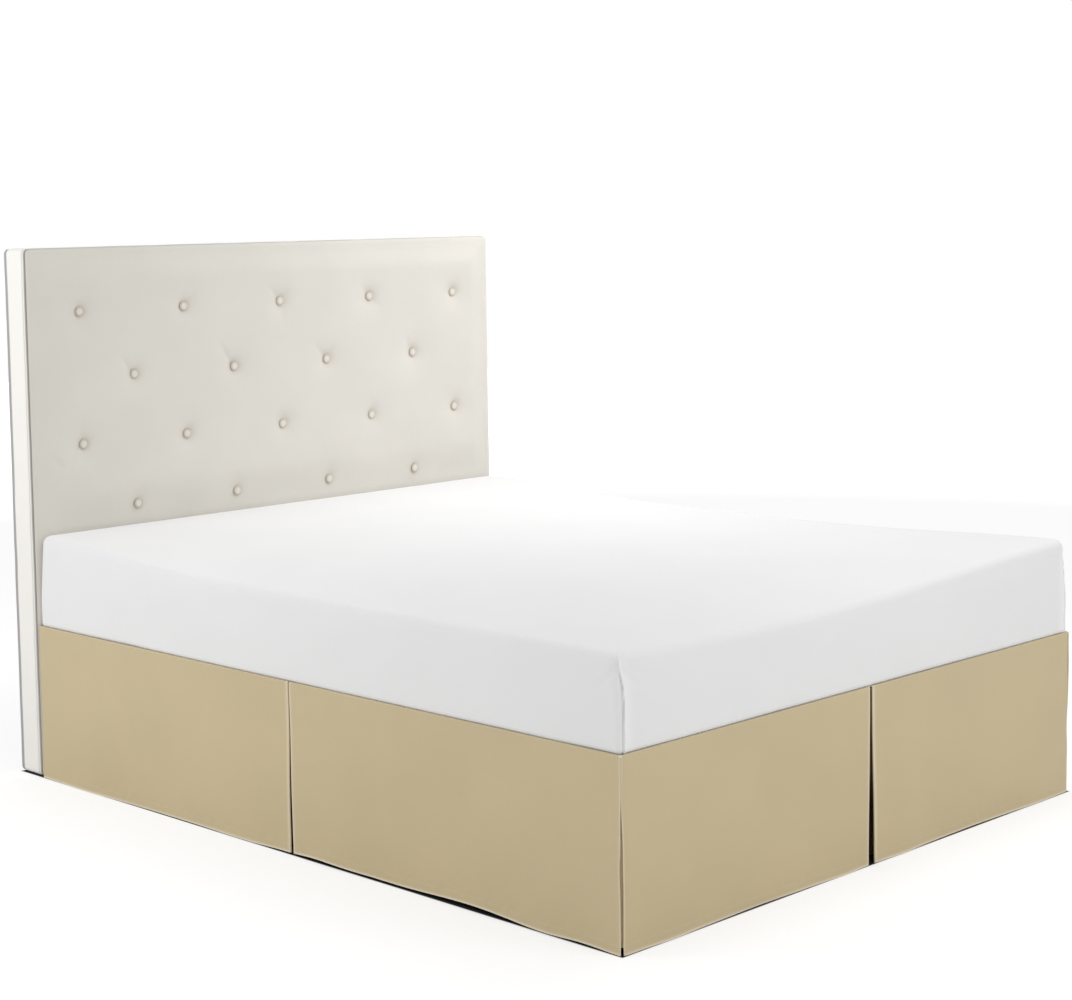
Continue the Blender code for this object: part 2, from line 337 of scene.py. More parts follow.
class SkirtSizes(PropertyGroup):
    """The skirt's cloth, pleats, split corners and hems."""

    cloth: size("Cloth", 0.0013, "Thickness of the drops and insets")
    platform_cloth: size("Platform cloth", 0.0015, "Thickness of the flat sheet")
    pleat_deep: size("Pleat depth", 0.090, "How far each fold of a pleat reaches sideways")
    layer: size("Layer step", 0.0045, "From one layer of a pleat to the next")
    free_from: share_of("Free from", 0.45, "How far down a pleat's inner layers come free")
    layer_spread: size("Layer spread", 0.012, "How far the middle layer stands off at the hem")
    curl_turn: turn_of("Curl", 40.0, "Turn of a drop's end at a split corner")
    plain_end: size("Plain end", 0.004, "Last stretch of a drop whose end is flat")
    corner_gap: size("Corner gap", 0.0009, "Gap between two drops at the seam")
    corner_open: size("Corner opening", 0.0042, "How much wider that gap is lower down")
    shut_down: share_of("Shut down to", 0.15, "How far down a split corner stays shut")
    widest_down: share_of("Widest at", 0.62, "How far down a split corner is widest")
    hem_closing: share_of("Hem closing", 0.2, "How much of the opening is lost at the hem")
    roll: size("Seam roll", 0.0029, "Radius of a drop's top, which rolls over the platform")
    roll_tail: size("Seam allowance", 0.0015, "Flat cloth past the rolled top")
    trimmed: size("Trimmed end", 0.0012, "How far the flat top of a pleat's inner layers drops")
    hem_deep: size("Hem", 0.019, "From a drop's lower edge up to the stitches of its hem")
    side_hem: size("Side hem", 0.0085, "From a free upright edge to its stitches")
    groove: size("Stitch groove", 0.00040, "How deep the stitches pull the cloth in")
    pucker: size("Pucker", 0.00085, "Height of the small puckers along the hem")
    uneven: size("Unevenness", 0.0011, "Height of the broad unevenness of the cloth")
    inset_reach: size("Inset reach", 0.110, "Width of each half of a corner inset")
    inset_top: size("Inset top", 0.0050, "How far in an inset lies at its top")
    inset_foot: size("Inset foot", 0.0068, "How far in an inset lies at its hem")
    inset_round: size("Inset turn", 0.012, "Radius of an inset's turn round the corner")
    inset_hem: size("Inset hem", 0.014, "Height of an inset's hem above the floor")


class BedSizes(PropertyGroup):
    """The mattress in its fitted sheet, the headboard, the foundation and the legs."""

    top_round: size("Top edge", 0.022, "Radius of the mattress's upper edge")
    shoulder: size("Shoulder", 0.037, "How far the sheet pulls the upper edge down")
    shoulder_wide: size("Shoulder width", 0.130, "How far in from the edge that pull reaches")
    base_round: size("Lower edge", 0.007, "Radius of the mattress's lower edge")
    corner_top: size("Upper corner", 0.030, "Radius of an upright corner at the top")
    corner_base: size("Lower corner", 0.014, "Radius of an upright corner at the bottom")
    crown: size("Crown", 0.003, "How much the middle of the mattress stands up")
    seam_high: size("Sheet seam", 0.0028, "Height of the sheet's seam at each corner")
    seam_wide: size("Seam width", 0.0022, "Half of the width of that seam")
    seam_aside: size("Seam place", 0.012, "How far the seam lies to the foot's side of a corner")
    seam_lean: size("Seam lean", 0.012, "How far the seam bends aside at the top")
    padding: size("Padding", 0.0110, "How far the headboard's padding swells between buttons")
    dimple: size("Dimple", 0.026, "Reach of the dimple round a button")
    button: size("Button", 0.013, "Radius of a covered button")
    button_high: size("Button height", 0.0053, "Height of a covered button")
    board_corner: size("Board corner", 0.014, "Radius of the headboard's corners, seen from the front")
    board_edge: size("Padded edge", 0.024, "Width of the headboard's rounded front border")
    board_round: size("Padded edge depth", 0.0065, "Depth of that rounded border")
    board_seam: size("Board seam", 0.0100, "Depth of the seam groove behind the border")
    board_fold: size("Board fold", 0.0215, "Depth of the fold behind the strip beside that seam")
    back_strip: size("Back strip", 0.015, "Depth of the bare strip at the headboard's back")
    leg: size("Leg", 0.025, "Radius of a leg")


class Colours(PropertyGroup):
    """Colours of the cloths, the wood and the stage."""

    skirt: tint("Skirt", (0.590, 0.486, 0.298), "Tan cloth of the skirt")
    # Painted shade: near-black tan that stands for the shade deep inside a pleat.
    skirt_fold_shade: tint("Inside a pleat", (0.095, 0.058, 0.026), "Tan cloth deep in a fold")
    # Painted highlight along the hem, the folds at the slit and the free edges; the stitch dashes are
    # tinted a little towards it as their thread colour.
    skirt_highlight_and_thread: tint("Pressed edge", (0.880, 0.800, 0.640), "Tan cloth along a pressed edge")
    # A lightened copy of the skirt's tan: painted light that offsets the shade behind a split corner.
    inset: tint("Inset", (0.800, 0.650, 0.390), "Tan cloth behind a split corner")
    platform: tint("Platform", (0.840, 0.830, 0.800), "Plain cloth of the flat sheet")
    sheet: tint("Sheet", (0.825, 0.825, 0.828), "White cloth of the fitted sheet")
    board: tint("Headboard", (0.718, 0.692, 0.632), "Cream cover of the headboard")
    # Painted shade: darker cream deep in the dimples and at the buttons' rims.
    board_dimple_shade: tint("Dimples", (0.520, 0.455, 0.370), "Cream cover deep in a dimple")
    # A lightened copy of the cover's cream: painted light on the headboard's side panels.
    board_side_lightened: tint("Headboard side", (0.900, 0.880, 0.835), "Cream cover where it turns back")
    board_back: tint("Back strip", (0.360, 0.360, 0.360), "Grey lining at the headboard's back")
    # Paler white beside each corner seam: partly the seam allowance behind the cloth, partly a painted
    # highlight on the ridge.
    sheet_highlight_and_doubled: tint("Doubled sheet", (0.905, 0.905, 0.908), "White cloth over its seam")
    sheet_seam: tint("Sheet seam", (0.400, 0.400, 0.400), "Shade in the sheet's corner seam")
    ticking: tint("Ticking", (0.600, 0.590, 0.560), "Cover of the foundation")
    wood: tint("Leg wood", (0.050, 0.036, 0.028), "Dark stained wood")
    wood_grain: tint("Wood grain", (0.110, 0.075, 0.052), "Lighter grain in that wood")
    floor: tint("Floor", (0.900, 0.900, 0.900), "Plain pale floor")


class StageSizes(PropertyGroup):
    """The camera at the photograph's angle, and the soft studio light."""

    camera_place: spot("Camera", (-3.809, -3.836, 1.436), "Where the camera stands")
    camera_yaw: turn_of("Yaw", 45.15, "Turn of the view from +Y towards +X")
    camera_dip: turn_of("Dip", 4.89, "How far the view looks down")
    camera_roll: turn_of("Roll", -0.88, "Tilt of the view to one side")
    camera_lens: FloatProperty(
        name="Lens", description="Focal length in millimetres", default=73.9, unit="CAMERA"
    )
    camera_shift: FloatProperty(
        name="Shift", description="Upward shift of the lens, as a share of the width", default=-0.1
    )
    sky: FloatProperty(name="Sky", description="Strength of the light all round", default=0.77)
    floor_reach: size("Floor", 14.0, "Radius of the floor")
    floor_glow: FloatProperty(
        name="Floor glow", description="How bright the floor's own light looks", default=1.25
    )
    floor_lift: share_of("Floor lift", 0.48, "How much of its own light the floor shows the camera")
    floor_near: size("Floor fades from", 3.2, "Distance at which the floor starts to fade")
    floor_far: size("Floor fades to", 7.5, "Distance at which the floor is as pale as the sky")


def ease(part):
    """A smooth rise from 0 to 1 as part goes from 0 to 1, held at both ends."""
    held = np.clip(part, 0.0, 1.0)
    return held * held * (3.0 - 2.0 * held)


def blend(low, high, part):
    return low + (high - low) * part


def bell(off):
    """A soft hump: 1 in the middle, near 0 from about 1.5 on."""
    return np.exp(-off * off)


def soft_noise(seed, first, second=0.0):
    """Smooth unevenness from -1 to 1, with one rise or fall to each whole step."""
    knots = np.random.default_rng(seed).uniform(-1.0, 1.0, (97, 97))
    first, second = np.broadcast_arrays(first, second)
    row = np.floor(first).astype(int)
    column = np.floor(second).astype(int)
    down = ease(first - row)
    across = ease(second - column)

    def knot(rows, columns):
        return knots[rows % 97, columns % 97]

    upper = blend(knot(row, column), knot(row, column + 1), across)
    lower = blend(knot(row + 1, column), knot(row + 1, column + 1), across)
    return blend(upper, lower, down)


def deselect_all():
    for item in bpy.context.selected_objects:
        item.select_set(False)


def make_active(piece):
    deselect_all()
    piece.select_set(True)
    bpy.context.view_layer.objects.active = piece


def points_of(piece):
    flat = np.empty(len(piece.data.vertices) * 3)
    piece.data.vertices.foreach_get("co", flat)
    return flat.reshape(-1, 3)


def move_points(piece, points):
    piece.data.vertices.foreach_set("co", np.asarray(points, float).ravel())
    piece.data.update()


def corner_points(piece):
    """The number of the point at each face corner."""
    found = np.empty(len(piece.data.loops), int)
    piece.data.loops.foreach_get("vertex_index", found)
    return found


def lay_cloth_map(piece, across, up):
    """Cloth coordinates in metres, as the piece's own UV map, from a value for each point."""
    layer = piece.data.uv_layers[0]
    layer.name = "cloth"
    corners = corner_points(piece)
    places = np.stack([across[corners], up[corners]], axis=1)
    layer.data.foreach_set("uv", places.ravel())


def mark_points(piece, name, values):
    """A number for each point, which a material reads."""
    layer = piece.data.attributes.new(name, "FLOAT", "POINT")
    layer.data.foreach_set("value", np.asarray(values, float).ravel())


def new_grid(name, columns, rows):
    """A flat grid of that many faces each way, with the column and row of each point."""
    deselect_all()
    bpy.ops.mesh.primitive_grid_add(x_subdivisions=columns, y_subdivisions=rows, size=1.0)
    made = bpy.context.active_object
    made.name = name
    made.data.name = name
    flat = points_of(made)
    column = np.rint((flat[:, 0] + 0.5) * columns).astype(int)
    row = np.rint((0.5 - flat[:, 1]) * rows).astype(int)
    return made, column, row


def apply_modifier(piece, name, kind, **settings):
    make_active(piece)
    added = piece.modifiers.new(name, kind)
    for setting, value in settings.items():
        setattr(added, setting, value)
    bpy.ops.object.modifier_apply(modifier=added.name)


def thicken(piece, thick):
    apply_modifier(piece, "thickness", "SOLIDIFY", thickness=thick, offset=0.0)


def smooth_over(piece, degrees):
    make_active(piece)
    bpy.ops.object.shade_smooth_by_angle(angle=math.radians(degrees))


def face_outwards(piece):
    make_active(piece)
    bpy.ops.object.mode_set(mode="EDIT")
    bpy.ops.mesh.select_all(action="SELECT")
    bpy.ops.mesh.normals_make_consistent(inside=False)
    bpy.ops.object.mode_set(mode="OBJECT")


def dress(piece, material, slot, *nodes):
    """Gives a finished piece its material and its body, and hides the nodes that it replaces; its slot
    is not used.
    """
    piece.data.materials.clear()
    piece.data.materials.append(material)
    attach(piece, "root")
    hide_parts(*nodes)


class Wire:
    """A shader socket that Python's operators work on: each one adds its node."""

    def __init__(self, tree, socket=None):
        self.tree = tree
        self.socket = socket

    def node(self, kind, settings=None, inputs=None, output=0):
        made = self.tree.nodes.new(kind)
        for name, value in (settings or {}).items():
            setattr(made, name, value)
        for key, value in (inputs or {}).items():
            if isinstance(value, Wire):
                self.tree.links.new(value.socket, made.inputs[key])
            else:
                made.inputs[key].default_value = value
        return Wire(self.tree, made.outputs[output])

    def math(self, operation, *values):
        settings = {"operation": operation}
        return self.node("ShaderNodeMath", settings, dict(enumerate(values)))

    def __add__(self, other):
        return self.math("ADD", self, other)

    def __radd__(self, other):
        return self.math("ADD", other, self)

    def __sub__(self, other):
        return self.math("SUBTRACT", self, other)

    def __rsub__(self, other):
        return self.math("SUBTRACT", other, self)

    def __mul__(self, other):
        return self.math("MULTIPLY", self, other)

    def __rmul__(self, other):
        return self.math("MULTIPLY", other, self)

    def __truediv__(self, other):
        return self.math("DIVIDE", self, other)

    def __rtruediv__(self, other):
        return self.math("DIVIDE", other, self)

    def __abs__(self):
        return self.math("ABSOLUTE", self)

    def sine(self):
        return self.math("SINE", self)

    def above(self, level):
        return self.math("GREATER_THAN", self, level)

    def ramp(self, low, high):
        """A smooth rise from 0 at low to 1 at high."""
        settings = {"interpolation_type": "SMOOTHSTEP"}
        ends = {"Value": self, "From Min": low, "From Max": high}
        return self.node("ShaderNodeMapRange", settings, ends)

    def stretched(self, *factors):
        """A vector with each of its sides scaled."""
        return self.node("ShaderNodeVectorMath", {"operation": "MULTIPLY"}, {0: self, 1: factors})

    def parts(self):
        """The three sides of a vector."""
        sides = self.node("ShaderNodeSeparateXYZ", None, {0: self}).socket.node.outputs
        return [Wire(self.tree, side) for side in sides]

    def noise(self, scale, detail=2.0, rough=0.5):
        wanted = {"Vector": self, "Scale": scale, "Detail": detail, "Roughness": rough}
        return self.node("ShaderNodeTexNoise", None, wanted)

    def tinted(self, first, second, mode="MIX"):
        """The first colour where this value is 0, the second where it is 1."""
        settings = {"data_type": "RGBA", "blend_type": mode}
        return self.node("ShaderNodeMix", settings, {0: self, 6: first, 7: second}, output=2)


def full(colour):
    return (*colour, 1.0)


def darker(colour, factor):
    return (colour[0] * factor, colour[1] * factor, colour[2] * factor, 1.0)


def new_material(name, sheen=0.0, specular=0.5):
    """A material's tree as a wire, its shader, and the material."""
    made = bpy.data.materials.new(name)
    made.use_nodes = True
    shader = made.node_tree.nodes["Principled BSDF"]
    shader.inputs["Sheen Weight"].default_value = sheen
    shader.inputs["Specular IOR Level"].default_value = specular
    return Wire(made.node_tree), shader, made


def feed(shader, name, value):
    shader.id_data.links.new(value.socket, shader.inputs[name])


def raise_up(wire, shader, height, distance):
    """Turns a height from 0 to 1 into relief of that many metres."""
    relief = wire.node("ShaderNodeBump", None, {"Height": height, "Distance": distance})
    feed(shader, "Normal", relief)


def cloth_place(wire):
    return wire.node("ShaderNodeUVMap", {"uv_map": "cloth"})


def object_place(wire):
    return wire.node("ShaderNodeTexCoord", None, None, output=3)


def marked(wire, name):
    return wire.node("ShaderNodeAttribute", {"attribute_name": name}, None, output=2)


def woven(place, pitch):
    """Height of a plain weave, one thread over and one under."""
    across, along, _ = place.parts()
    warp = (across * (math.pi / pitch)).sine()
    weft = (along * (math.pi / pitch)).sine()
    over = (warp * weft).above(0.0)
    return abs(warp) * over + abs(weft) * (1.0 - over)


def threads(place, loose, close, detail=2.0):
    """Fine uneven threads across and along the cloth."""
    across = place.stretched(loose, close, 1.0).noise(1.0, detail)
    along = place.stretched(close, loose, 1.0).noise(1.0, detail)
    return across + along


def dashes(place_along, place_across, at, long, wide):
    """A row of stitches: 1 on each dash and 0 elsewhere."""
    dash = (place_along * (2.0 * math.pi / long)).sine().ramp(-0.3, 0.1)
    return dash * (1.0 - abs(place_across - at).ramp(wide * 0.5, wide))


def skirt_cloth(name, colour, sizes, colours):
    """The skirt's tan cloth, with its stitches, painted highlights along its edges and painted shade
    deep in its folds.
    """
    wire, shader, made = new_material(name, sheen=0.12, specular=0.35)
    place = cloth_place(wire)
    across, up, _ = place.parts()
    broad = place.noise(3.1, 2.0)
    fine = threads(place, 60.0, 900.0)
    stitches = dashes(across, up, sizes.hem_deep, 0.0042, 0.0011)
    base = broad.ramp(0.3, 0.7).tinted(darker(colour, 0.965), darker(colour, 1.02))
    # Painted highlight: lighter colour along the hem's lower edge, the slit's folds and the free edges.
    base = marked(wire, "edge_highlight").tinted(base, full(colours.skirt_highlight_and_thread))
    base = (stitches * 0.15).tinted(base, full(colours.skirt_highlight_and_thread))
    base = (fine * 0.10).tinted(base, darker(colour, 0.80))
    # Painted shade: cloth inside the pleats is darkened towards near-black by its tucked mark.
    base = marked(wire, "tucked").tinted(base, full(colours.skirt_fold_shade))
    feed(shader, "Base Color", base)
    feed(shader, "Roughness", 0.52 + broad * 0.12)
    raise_up(wire, shader, woven(place, 0.00055) * 0.35 + fine * 0.35 + stitches * 0.6, 0.00016)
    return made


def plain_cloth(name, colour, pitch, relief, mottle=0.03, shaded=None, highlight_and_doubled=None):
    """A woven cloth with slubs and mottling, painted shade where it is marked shaded, and a paler
    colour where it is marked doubled: partly the seam allowance behind the cloth, partly a painted
    highlight.
    """
    wire, shader, made = new_material(name, sheen=0.1, specular=0.3)
    place = cloth_place(wire)
    broad = place.noise(4.0, 2.0)
    slubs = threads(place, 45.0, 700.0)
    base = broad.ramp(0.3, 0.7).tinted(darker(colour, 1.0 - mottle), full(colour))
    base = (slubs * 0.08).tinted(base, darker(colour, 0.85))
    if highlight_and_doubled:
        # Partly doubled cloth, partly a painted highlight.
        base = marked(wire, "highlight_and_doubled").tinted(base, full(highlight_and_doubled))
    if shaded:
        base = marked(wire, "shaded").tinted(base, full(shaded))
    feed(shader, "Base Color", base)
    feed(shader, "Roughness", 0.72 + broad * 0.12)
    raise_up(wire, shader, woven(place, pitch) * 0.5 + slubs * 0.4, relief)
    return made


def board_cover(sizes, colours):
    """The headboard's linen cover, with painted shade in its seam and dimples, a paler copy of its
    cream as painted light on its sides, and the grey bare strip at its back.
    """
    wire, shader, made = new_material("board_cover", sheen=0.15, specular=0.3)
    place = cloth_place(wire)
    broad = place.noise(5.0, 3.0)
    slubs = threads(place, 30.0, 500.0, 3.0)
    base = broad.ramp(0.3, 0.7).tinted(darker(colours.board, 0.965), full(colours.board))
    base = (slubs * 0.16).tinted(base, darker(colours.board, 0.80))
    # Painted shade in the dimples round the buttons.
    base = marked(wire, "shaded").tinted(base, full(colours.board_dimple_shade))
    # Painted light: the side panels take a paler copy of the same cream.
    base = marked(wire, "side").tinted(base, full(colours.board_side_lightened))
    # Painted shade in the seam groove and in the fold beside the strip.
    base = marked(wire, "seam").tinted(base, darker(colours.board, 0.30))
    base = marked(wire, "bare").tinted(base, full(colours.board_back))
    feed(shader, "Base Color", base)
    feed(shader, "Roughness", 0.70 + broad * 0.15)
    raise_up(wire, shader, woven(place, 0.0008) * 0.5 + slubs * 0.5, 0.00022)
    return made


def stained_wood(colours):
    wire, shader, made = new_material("stained_wood", specular=0.5)
    place = object_place(wire)
    grain = place.stretched(90.0, 90.0, 4.0).noise(1.0, 4.0, 0.6)
    pores = place.stretched(700.0, 700.0, 25.0).noise(1.0, 2.0)
    base = grain.ramp(0.35, 0.7).tinted(full(colours.wood), full(colours.wood_grain))
    feed(shader, "Base Color", base)
    feed(shader, "Roughness", 0.38 + pores * 0.2)
    raise_up(wire, shader, grain * 0.4 + pores * 0.6, 0.00015)
    return made


def lift_at(lifts, share):
    """Hem height above the floor, eased between the table's rows."""
    places = np.array([lift.at for lift in lifts])
    heights = np.array([lift.high for lift in lifts])
    row = np.clip(np.searchsorted(places, share, side="right") - 1, 0, len(lifts) - 2)
    part = (share - places[row]) / (places[row + 1] - places[row])
    return blend(heights[row], heights[row + 1], ease(part))


def fold_reach(folds, share, down):
    """How far the soft folds push the cloth outwards, nothing at the seam."""
    reach = sum(fold.out * bell(2.0 * (share - fold.at) / fold.wide) for fold in folds)
    return reach * ease(down)


def corner_opening(sizes, down):
    """The split corner is shut near the seam and open lower down."""
    opened = ease((down - sizes.shut_down) / (sizes.widest_down - sizes.shut_down))
    closed = sizes.hem_closing * ease((down - sizes.widest_down) / (1.0 - sizes.widest_down))
    return sizes.corner_open * (opened - closed)


def curl_length(sizes, radius, down):
    """How much of the drop's length its end takes up, curled or plain."""
    if radius == 0.0:
        return sizes.plain_end + 0.0 * down
    rise = radius * (1.0 - math.cos(sizes.curl_turn))
    reach = radius * math.sin(sizes.curl_turn) + rise + sizes.corner_gap
    return reach + corner_opening(sizes, down)


def curl(sizes, radius, down):
    """One end of a drop, from its free edge to the flat cloth."""
    start = curl_length(sizes, radius, down)
    if radius == 0.0:
        return [Strand(start * step / PLAIN_STEPS, 0.0 * down, 1.0, 0.0) for step in range(PLAIN_STEPS)]
    strands = []
    for step in range(CURL_STEPS):
        turn = sizes.curl_turn * (1.0 - step / CURL_STEPS)
        inwards = radius * (1.0 - math.cos(turn)) + 0.0 * down
        strands.append(Strand(start - radius * math.sin(turn), inwards, 1.0, 0.0))
    return strands


def freed(sizes, down):
    """How free a pleat's inner layers hang: 0 near the seam, 1 at the hem."""
    return ease((down - sizes.free_from) / (1.0 - sizes.free_from))


def half_pleat(sizes, drop, down):
    """From the end of the outer panel to the middle of the pleat's back.

    Each strand is placed from the middle of the pleat, on the panel's own side.
    """
    bend = sizes.layer / 2
    free = freed(sizes, down)
    edge = blend(drop.gap_top, drop.gap_hem, ease(down)) / 2 + bend
    middle_in = sizes.layer + sizes.layer_spread * free
    strands = []
    for step in range(FOLD_STEPS):
        turn = math.pi * step / FOLD_STEPS
        inwards = bend * (1.0 - math.cos(turn)) + 0.0 * down
        # The tucked share sets painted shade: darkest on the cloth just behind the slit, paler deeper
        # in the pleat.
        tucked = float(ease(turn / math.pi * 1.6 - 0.6))
        turned = float(ease(1.0 - 2.0 * turn / math.pi))
        strands.append(Strand(edge - bend * math.sin(turn), inwards, turned, tucked))
    for step in range(LAYER_STEPS):
        part = step / LAYER_STEPS
        along = blend(edge, sizes.pleat_deep, part)
        tucked = 1.0 - 0.8 * float(ease(part * 1.6))
        strands.append(Strand(along, blend(sizes.layer, middle_in, part), 0.0, tucked))
    for step in range(FOLD_STEPS):
        turn = math.pi * step / FOLD_STEPS
        inwards = middle_in + bend * (1.0 - math.cos(turn))
        along = sizes.pleat_deep + bend * math.sin(turn) + 0.0 * down
        strands.append(Strand(along, inwards, 0.0, 0.2))
    for step in range(BACK_STEPS):
        part = step / BACK_STEPS
        swell = drop.back * free * math.sin(math.pi / 2 * part)
        along = sizes.pleat_deep * (1.0 - part) + 0.0 * down
        tucked = 0.2 + 0.8 * float(ease(part * 1.6))
        strands.append(Strand(along, middle_in + sizes.layer + swell, 0.0, tucked))
    return strands


def flat_panel(start, end, steps):
    """Strands of a flat panel, evenly spread."""
    return [
        Strand(blend(start, end, step / steps), 0.0 * start, 1.0, 0.0) for step in range(steps)
    ]


def drop_strands(sizes, drop, down):
    """A drop's cloth as strands that run down it, from one end to the other."""
    middle = drop.length / 2
    first = half_pleat(sizes, drop, down)
    slit = first[0].along
    deepest = 2 * sizes.layer + (sizes.layer_spread + drop.back) * freed(sizes, down)
    panel_start = curl_length(sizes, drop.curl_start, down)
    panel_end = drop.length - curl_length(sizes, drop.curl_end, down)
    steps = round((middle - sizes.pleat_deep / 2) / PANEL_STEP)
    strands = curl(sizes, drop.curl_start, down)
    strands += flat_panel(panel_start, middle - slit, steps)
    strands += [strand._replace(along=middle - strand.along) for strand in first]
    strands.append(Strand(middle + 0.0 * down, deepest, 0.0, 1.0))
    strands += [strand._replace(along=middle + strand.along) for strand in reversed(first)]
    strands += reversed(flat_panel(panel_end, middle + slit, steps))
    end = curl(sizes, drop.curl_end, down)
    strands += [strand._replace(along=drop.length - strand.along) for strand in reversed(end)]
    return strands


def drop_rows(sizes, high):
    """For each row of a drop, how far down it lies and how far over the rolled top."""
    over = np.linspace(1.0, 0.0, ROLL_STEPS, endpoint=False)
    hem_from = 1.0 - HEM_ZONE * sizes.hem_deep / high
    body = np.linspace(0.0, hem_from, BODY_STEPS, endpoint=False)
    hem = np.linspace(hem_from, 1.0, HEM_STEPS + 1)
    down = np.concatenate([np.zeros(ROLL_STEPS), body, hem])
    return down, np.concatenate([over, np.zeros(BODY_STEPS + HEM_STEPS + 1)])


def rolled(sizes, over):
    """How far a drop's top goes inwards and up at a share of its rolled stretch."""
    quarter = sizes.roll * math.pi / 2
    distance = over * (quarter + sizes.roll_tail)
    turn = np.minimum(distance, quarter) / sizes.roll
    inwards = sizes.roll * (1.0 - np.cos(turn)) + np.maximum(distance - quarter, 0.0)
    return inwards, sizes.roll * np.sin(turn)


def hang_drop(name, sizes, drop, place, nodes, material):
    """One drop: a cloth sheet in its pleat, folds, seams and hems."""
    down, over = drop_rows(sizes, DROP_TOP)
    strands = drop_strands(sizes, drop, down)
    first_slit = half_pleat(sizes, drop, down)[0].along
    along = np.array([strand.along for strand in strands])
    inwards = np.array([strand.inwards for strand in strands])
    turned = np.array([strand.turned for strand in strands])[:, None]
    tucked = np.array([strand.tucked for strand in strands])[:, None]
    shown = tucked < 0.1
    steps = np.hypot(np.diff(along[:, 0]), np.diff(inwards[:, 0]))
    across = np.concatenate([[0.0], np.cumsum(steps)])[:, None]
    share = np.clip(along / drop.length, 0.0, 1.0)
    lift = lift_at(drop.lifts, share)
    height = blend(DROP_TOP, lift, down)
    above = height - lift

    out = fold_reach(drop.folds, share, down)
    broad = soft_noise(drop.seed, along / BROAD_ALONG, height / BROAD_DOWN)
    out += sizes.uneven * broad * ease(down / 0.3)
    gathers = soft_noise(drop.seed + 1, along / GATHER_ALONG)
    out += GATHER_HIGH * gathers * bell((down - 0.04) / 0.07) * shown
    by_hem = np.exp(-np.abs(above - sizes.hem_deep) / HEM_PULL)
    slanted = (along + PUCKER_LEAN * above) / PUCKER_ALONG
    puckers = soft_noise(drop.seed + 2, slanted, above / PUCKER_DOWN)
    out += sizes.pucker * puckers * by_hem * shown
    out -= sizes.groove * bell((above - sizes.hem_deep) / HEM_GROOVE) * shown
    out += HEM_RAISE * ease((sizes.hem_deep - above) / 0.004) * shown
    free_edge = np.minimum(across, 1.0 if drop.curl_end == 0.0 else across[-1] - across)
    in_band = free_edge < EDGE_BAND
    out -= sizes.groove * bell((free_edge - sizes.side_hem) / SIDE_GROOVE) * in_band

    roll_in, roll_up = rolled(sizes, over)
    from_corner = along[:, :1]
    if drop.curl_end > 0.0:
        from_corner = np.minimum(from_corner, drop.length - from_corner)
    mitre = (from_corner - sizes.corner_gap / 2) / (sizes.roll + sizes.roll_tail)
    turned = turned * np.clip(mitre, 0.0, 1.0)
    wave = WAVE_HIGH * soft_noise(drop.seed + 3, height / WAVE_DOWN) * ease(down / 0.35)
    along = along + wave * bell(free_edge / EDGE_WAVE)
    inwards = inwards + sizes.cloth / 2 - out + roll_in * turned
    cut = sizes.trimmed * (1.0 - over) * bell(down / 0.02)
    height = height + roll_up * turned - cut * (1.0 - turned)

    made, column, row = new_grid(name, len(strands) - 1, len(down) - 1)
    points = np.stack(place(along[column, row], inwards[column, row], height[column, row]), axis=1)
    move_points(made, points)
    lay_cloth_map(made, across[column, 0], above[column, row] + over[row] * sizes.roll_tail)
    # Painted highlights along the hem's lower edge, the folds beside the slit and the free upright
    # edges.
    hem_highlight = bell(above / HEM_LINE) * shown * 0.95
    slit_edge = np.abs(along - drop.length / 2) - first_slit
    fold_highlight = bell(slit_edge / FOLD_LINE) * (np.abs(share - 0.5) < 0.05) * shown * 0.5
    free_highlight = bell((free_edge - 0.001) / FREE_LINE) * in_band * 0.45
    edge_highlight = np.maximum.reduce(np.broadcast_arrays(hem_highlight, fold_highlight, free_highlight))
    mark_points(made, "edge_highlight", edge_highlight[column, row])
    # Painted shade inside the pleats.
    mark_points(made, "tucked", (tucked + 0.0 * above)[column, row])
    thicken(made, sizes.cloth)
    smooth_over(made, 50.0)
    dress(made, material, "skirt_cloth", *nodes)
    float(DROP_TOP + sizes.roll_tail + sizes.hem_deep)
    return made


def inset_line(sizes, down):
    """One line down each part of a corner inset: distances in from the side and the foot."""
    inwards = blend(sizes.inset_top, sizes.inset_foot, ease(down)) + sizes.cloth / 2
    start = inwards + sizes.inset_round
    line = []
    for step in range(INSET_FLAT_STEPS):
        line.append((inwards, blend(sizes.inset_reach, start, step / INSET_FLAT_STEPS)))
    for step in range(INSET_TURN_STEPS + 1):
        turn = math.pi / 2 * step / INSET_TURN_STEPS
        from_side = inwards + sizes.inset_round * (1.0 - math.cos(turn))
        from_foot = inwards + sizes.inset_round * (1.0 - math.sin(turn))
        line.append((from_side, from_foot))
    for step in range(1, INSET_FLAT_STEPS + 1):
        line.append((blend(start, sizes.inset_reach, step / INSET_FLAT_STEPS), inwards))
    return line


